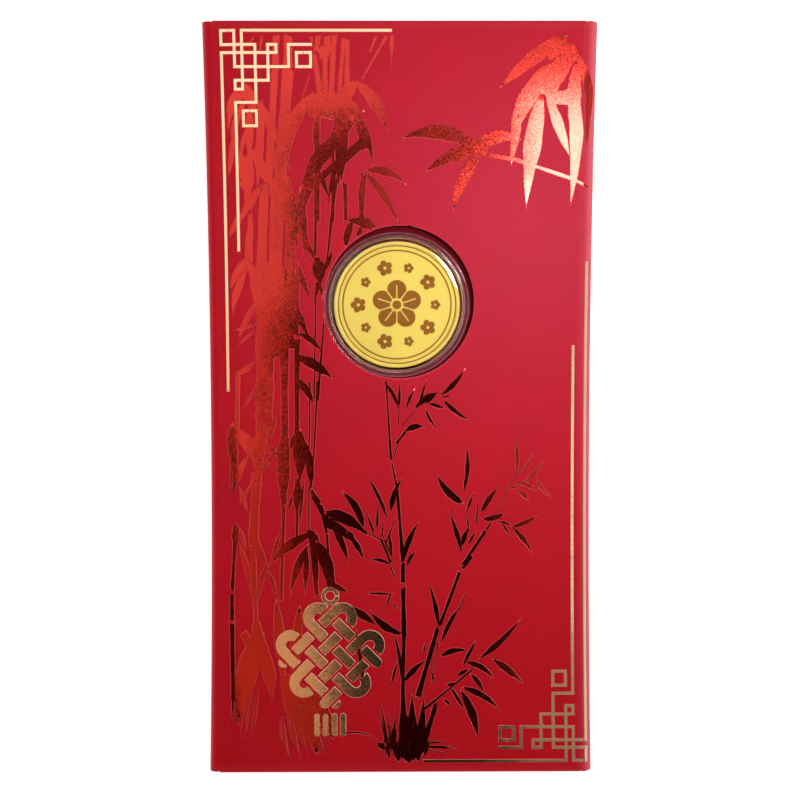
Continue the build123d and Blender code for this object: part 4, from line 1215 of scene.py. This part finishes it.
# %% Light and floor
def soft_box(name, place, target, width, height, radiance, colour):
    """An area lamp aimed at a target. Its power is radiance times pi times its area."""
    data = bpy.data.lights.new(name, "AREA")
    data.shape = "RECTANGLE"
    data.size, data.size_y = width * MM, height * MM
    data.energy = radiance * pi * width * height * MM * MM
    data.color = linear(colour)[:3]
    lamp = bpy.data.objects.new(name, data)
    lamp.location = Vector(place) * MM
    aim = Vector(target) * MM - lamp.location
    lamp.rotation_euler = aim.to_track_quat("-Z", "Y").to_euler()
    bpy.context.scene.collection.objects.link(lamp)
    print(name, round(data.energy, 3), "W")


BOX_HEIGHT = 330
OVERHEAD = (  # name, place over the table, width, length, radiance, colour
    ("spray_lamp", 76, 84, 30, 58, 28.0, "FFF6EE"),
    ("top_box", -87, 135, 286, 60, 1.3, "FFFAF6"),
    ("peak_box", 78, 139, 44, 52, 0.8, "FFFAF6"),
    ("left_box", -137, 62, 185, 86, 1.2, "FFF4EA"),
    ("left_line_box", -108, -22, 80, 86, 1.05, "FFE6D2"),
    ("left_edge_box", -189, -2, 82, 46, 1.05, "FFE6D2"),
    ("left_low_box", -61, -22, 14, 84, 1.0, "FFD2C0"),
    ("grove_foot_box", -101, -88, 94, 48, 0.68, "FFC8AC"),
    ("low_box", -85, -161, 106, 98, 0.65, "FFC99E"),
    ("fret_box", 74, -168, 36, 60, 0.32, "FFE8D8"),
    ("branch_box", 35, 67, 18, 24, 0.7, "FFE8D8"),
    ("leaf_box", -4, 69, 24, 28, 0.8, "FFF4EA"),
    ("right_box", 104, -64, 60, 132, 1.2, "FFF4EA"),
    ("twig_box", 62, -52, 24, 36, 0.6, "FFF4EA"),
    ("roll_box", 256, 110, 328, 260, 0.6, "FFF4F0"),
    ("roll_low_box", 169, -110, 162, 180, 0.5, "FFF4F0"),
)
soft_box("key_lamp", (42, 46, 150), (42, 46, 0), 24, 22, 49.0, "FFFAF4")
for name, x, y, *shape_and_light in OVERHEAD:
    soft_box(name, (x, y, BOX_HEIGHT), (x, y, 0), *shape_and_light)
soft_box("side_box", (360, 0, 168), (0, 0, 0), 460, 290, 0.62, "FFF4F0")
soft_box("side_lamp", (-420, 60, 62), (0, 20, 0), 460, 100, 1.2, "FFF6F4")
soft_box("foot_box", (-130, -460, 38), (0, -20, 0), 560, 60, 5.4, "FFF4F0")

# The room: a pale band along the horizon, dimmer walls above it and a dark ceiling
HORIZON, WALL, CEILING = 0.6, 0.17, 0.008
world = bpy.data.worlds.new("room")
world.use_nodes = True
room = world.node_tree
view = add(room, "ShaderNodeTexCoord").outputs["Generated"]
rise = add(room, "ShaderNodeSeparateXYZ", {"Vector": view}).outputs["Z"]
walls = remap(room, rise, 0.45, 0.85, WALL, CEILING, "SMOOTHSTEP")
horizon = remap(room, rise, 0.05, 0.3, HORIZON, 0.0, "SMOOTHSTEP")
background = room.nodes["Background"]
room.links.new(maths(room, "ADD", walls, horizon), background.inputs["Strength"])
background.inputs["Color"].default_value = (1.0, 0.95, 0.92, 1.0)
bpy.context.scene.world = world

FLOOR_HALF, FLOOR_LOW = 3.0, -0.0002  # in metres, just under the envelope
floor_material, floor_tree, floor_place = new_material("pale_table")
inputs = {
    "Base Color": remap(floor_tree, noise(floor_tree, floor_place, 3), 0, 1, 0.9, 0.94),
    "Roughness": 0.9,
    "Emission Color": (1, 1, 1, 1),
    "Emission Strength": 0.8,
}
surface(floor_tree, inputs)
floor_mesh = bpy.data.meshes.new("floor")
corner_signs = ((-1, -1), (1, -1), (1, 1), (-1, 1))
floor_corners = [(FLOOR_HALF * x, FLOOR_HALF * y, FLOOR_LOW) for x, y in corner_signs]
floor_mesh.from_pydata(floor_corners, [], [(0, 1, 2, 3)])
floor_mesh.materials.append(floor_material)
floor = bpy.data.objects.new("floor", floor_mesh)
bpy.context.scene.collection.objects.link(floor)
floor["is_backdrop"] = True
bpy.context.scene.view_settings.view_transform = "Standard"

# %% [markdown]
# Last comes the box round the dressed model, printed in millimetres.

# %% Size of the dressed model
low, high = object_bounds()
print("visual box", [round(v / MM, 2) for v in (*low, *high)])
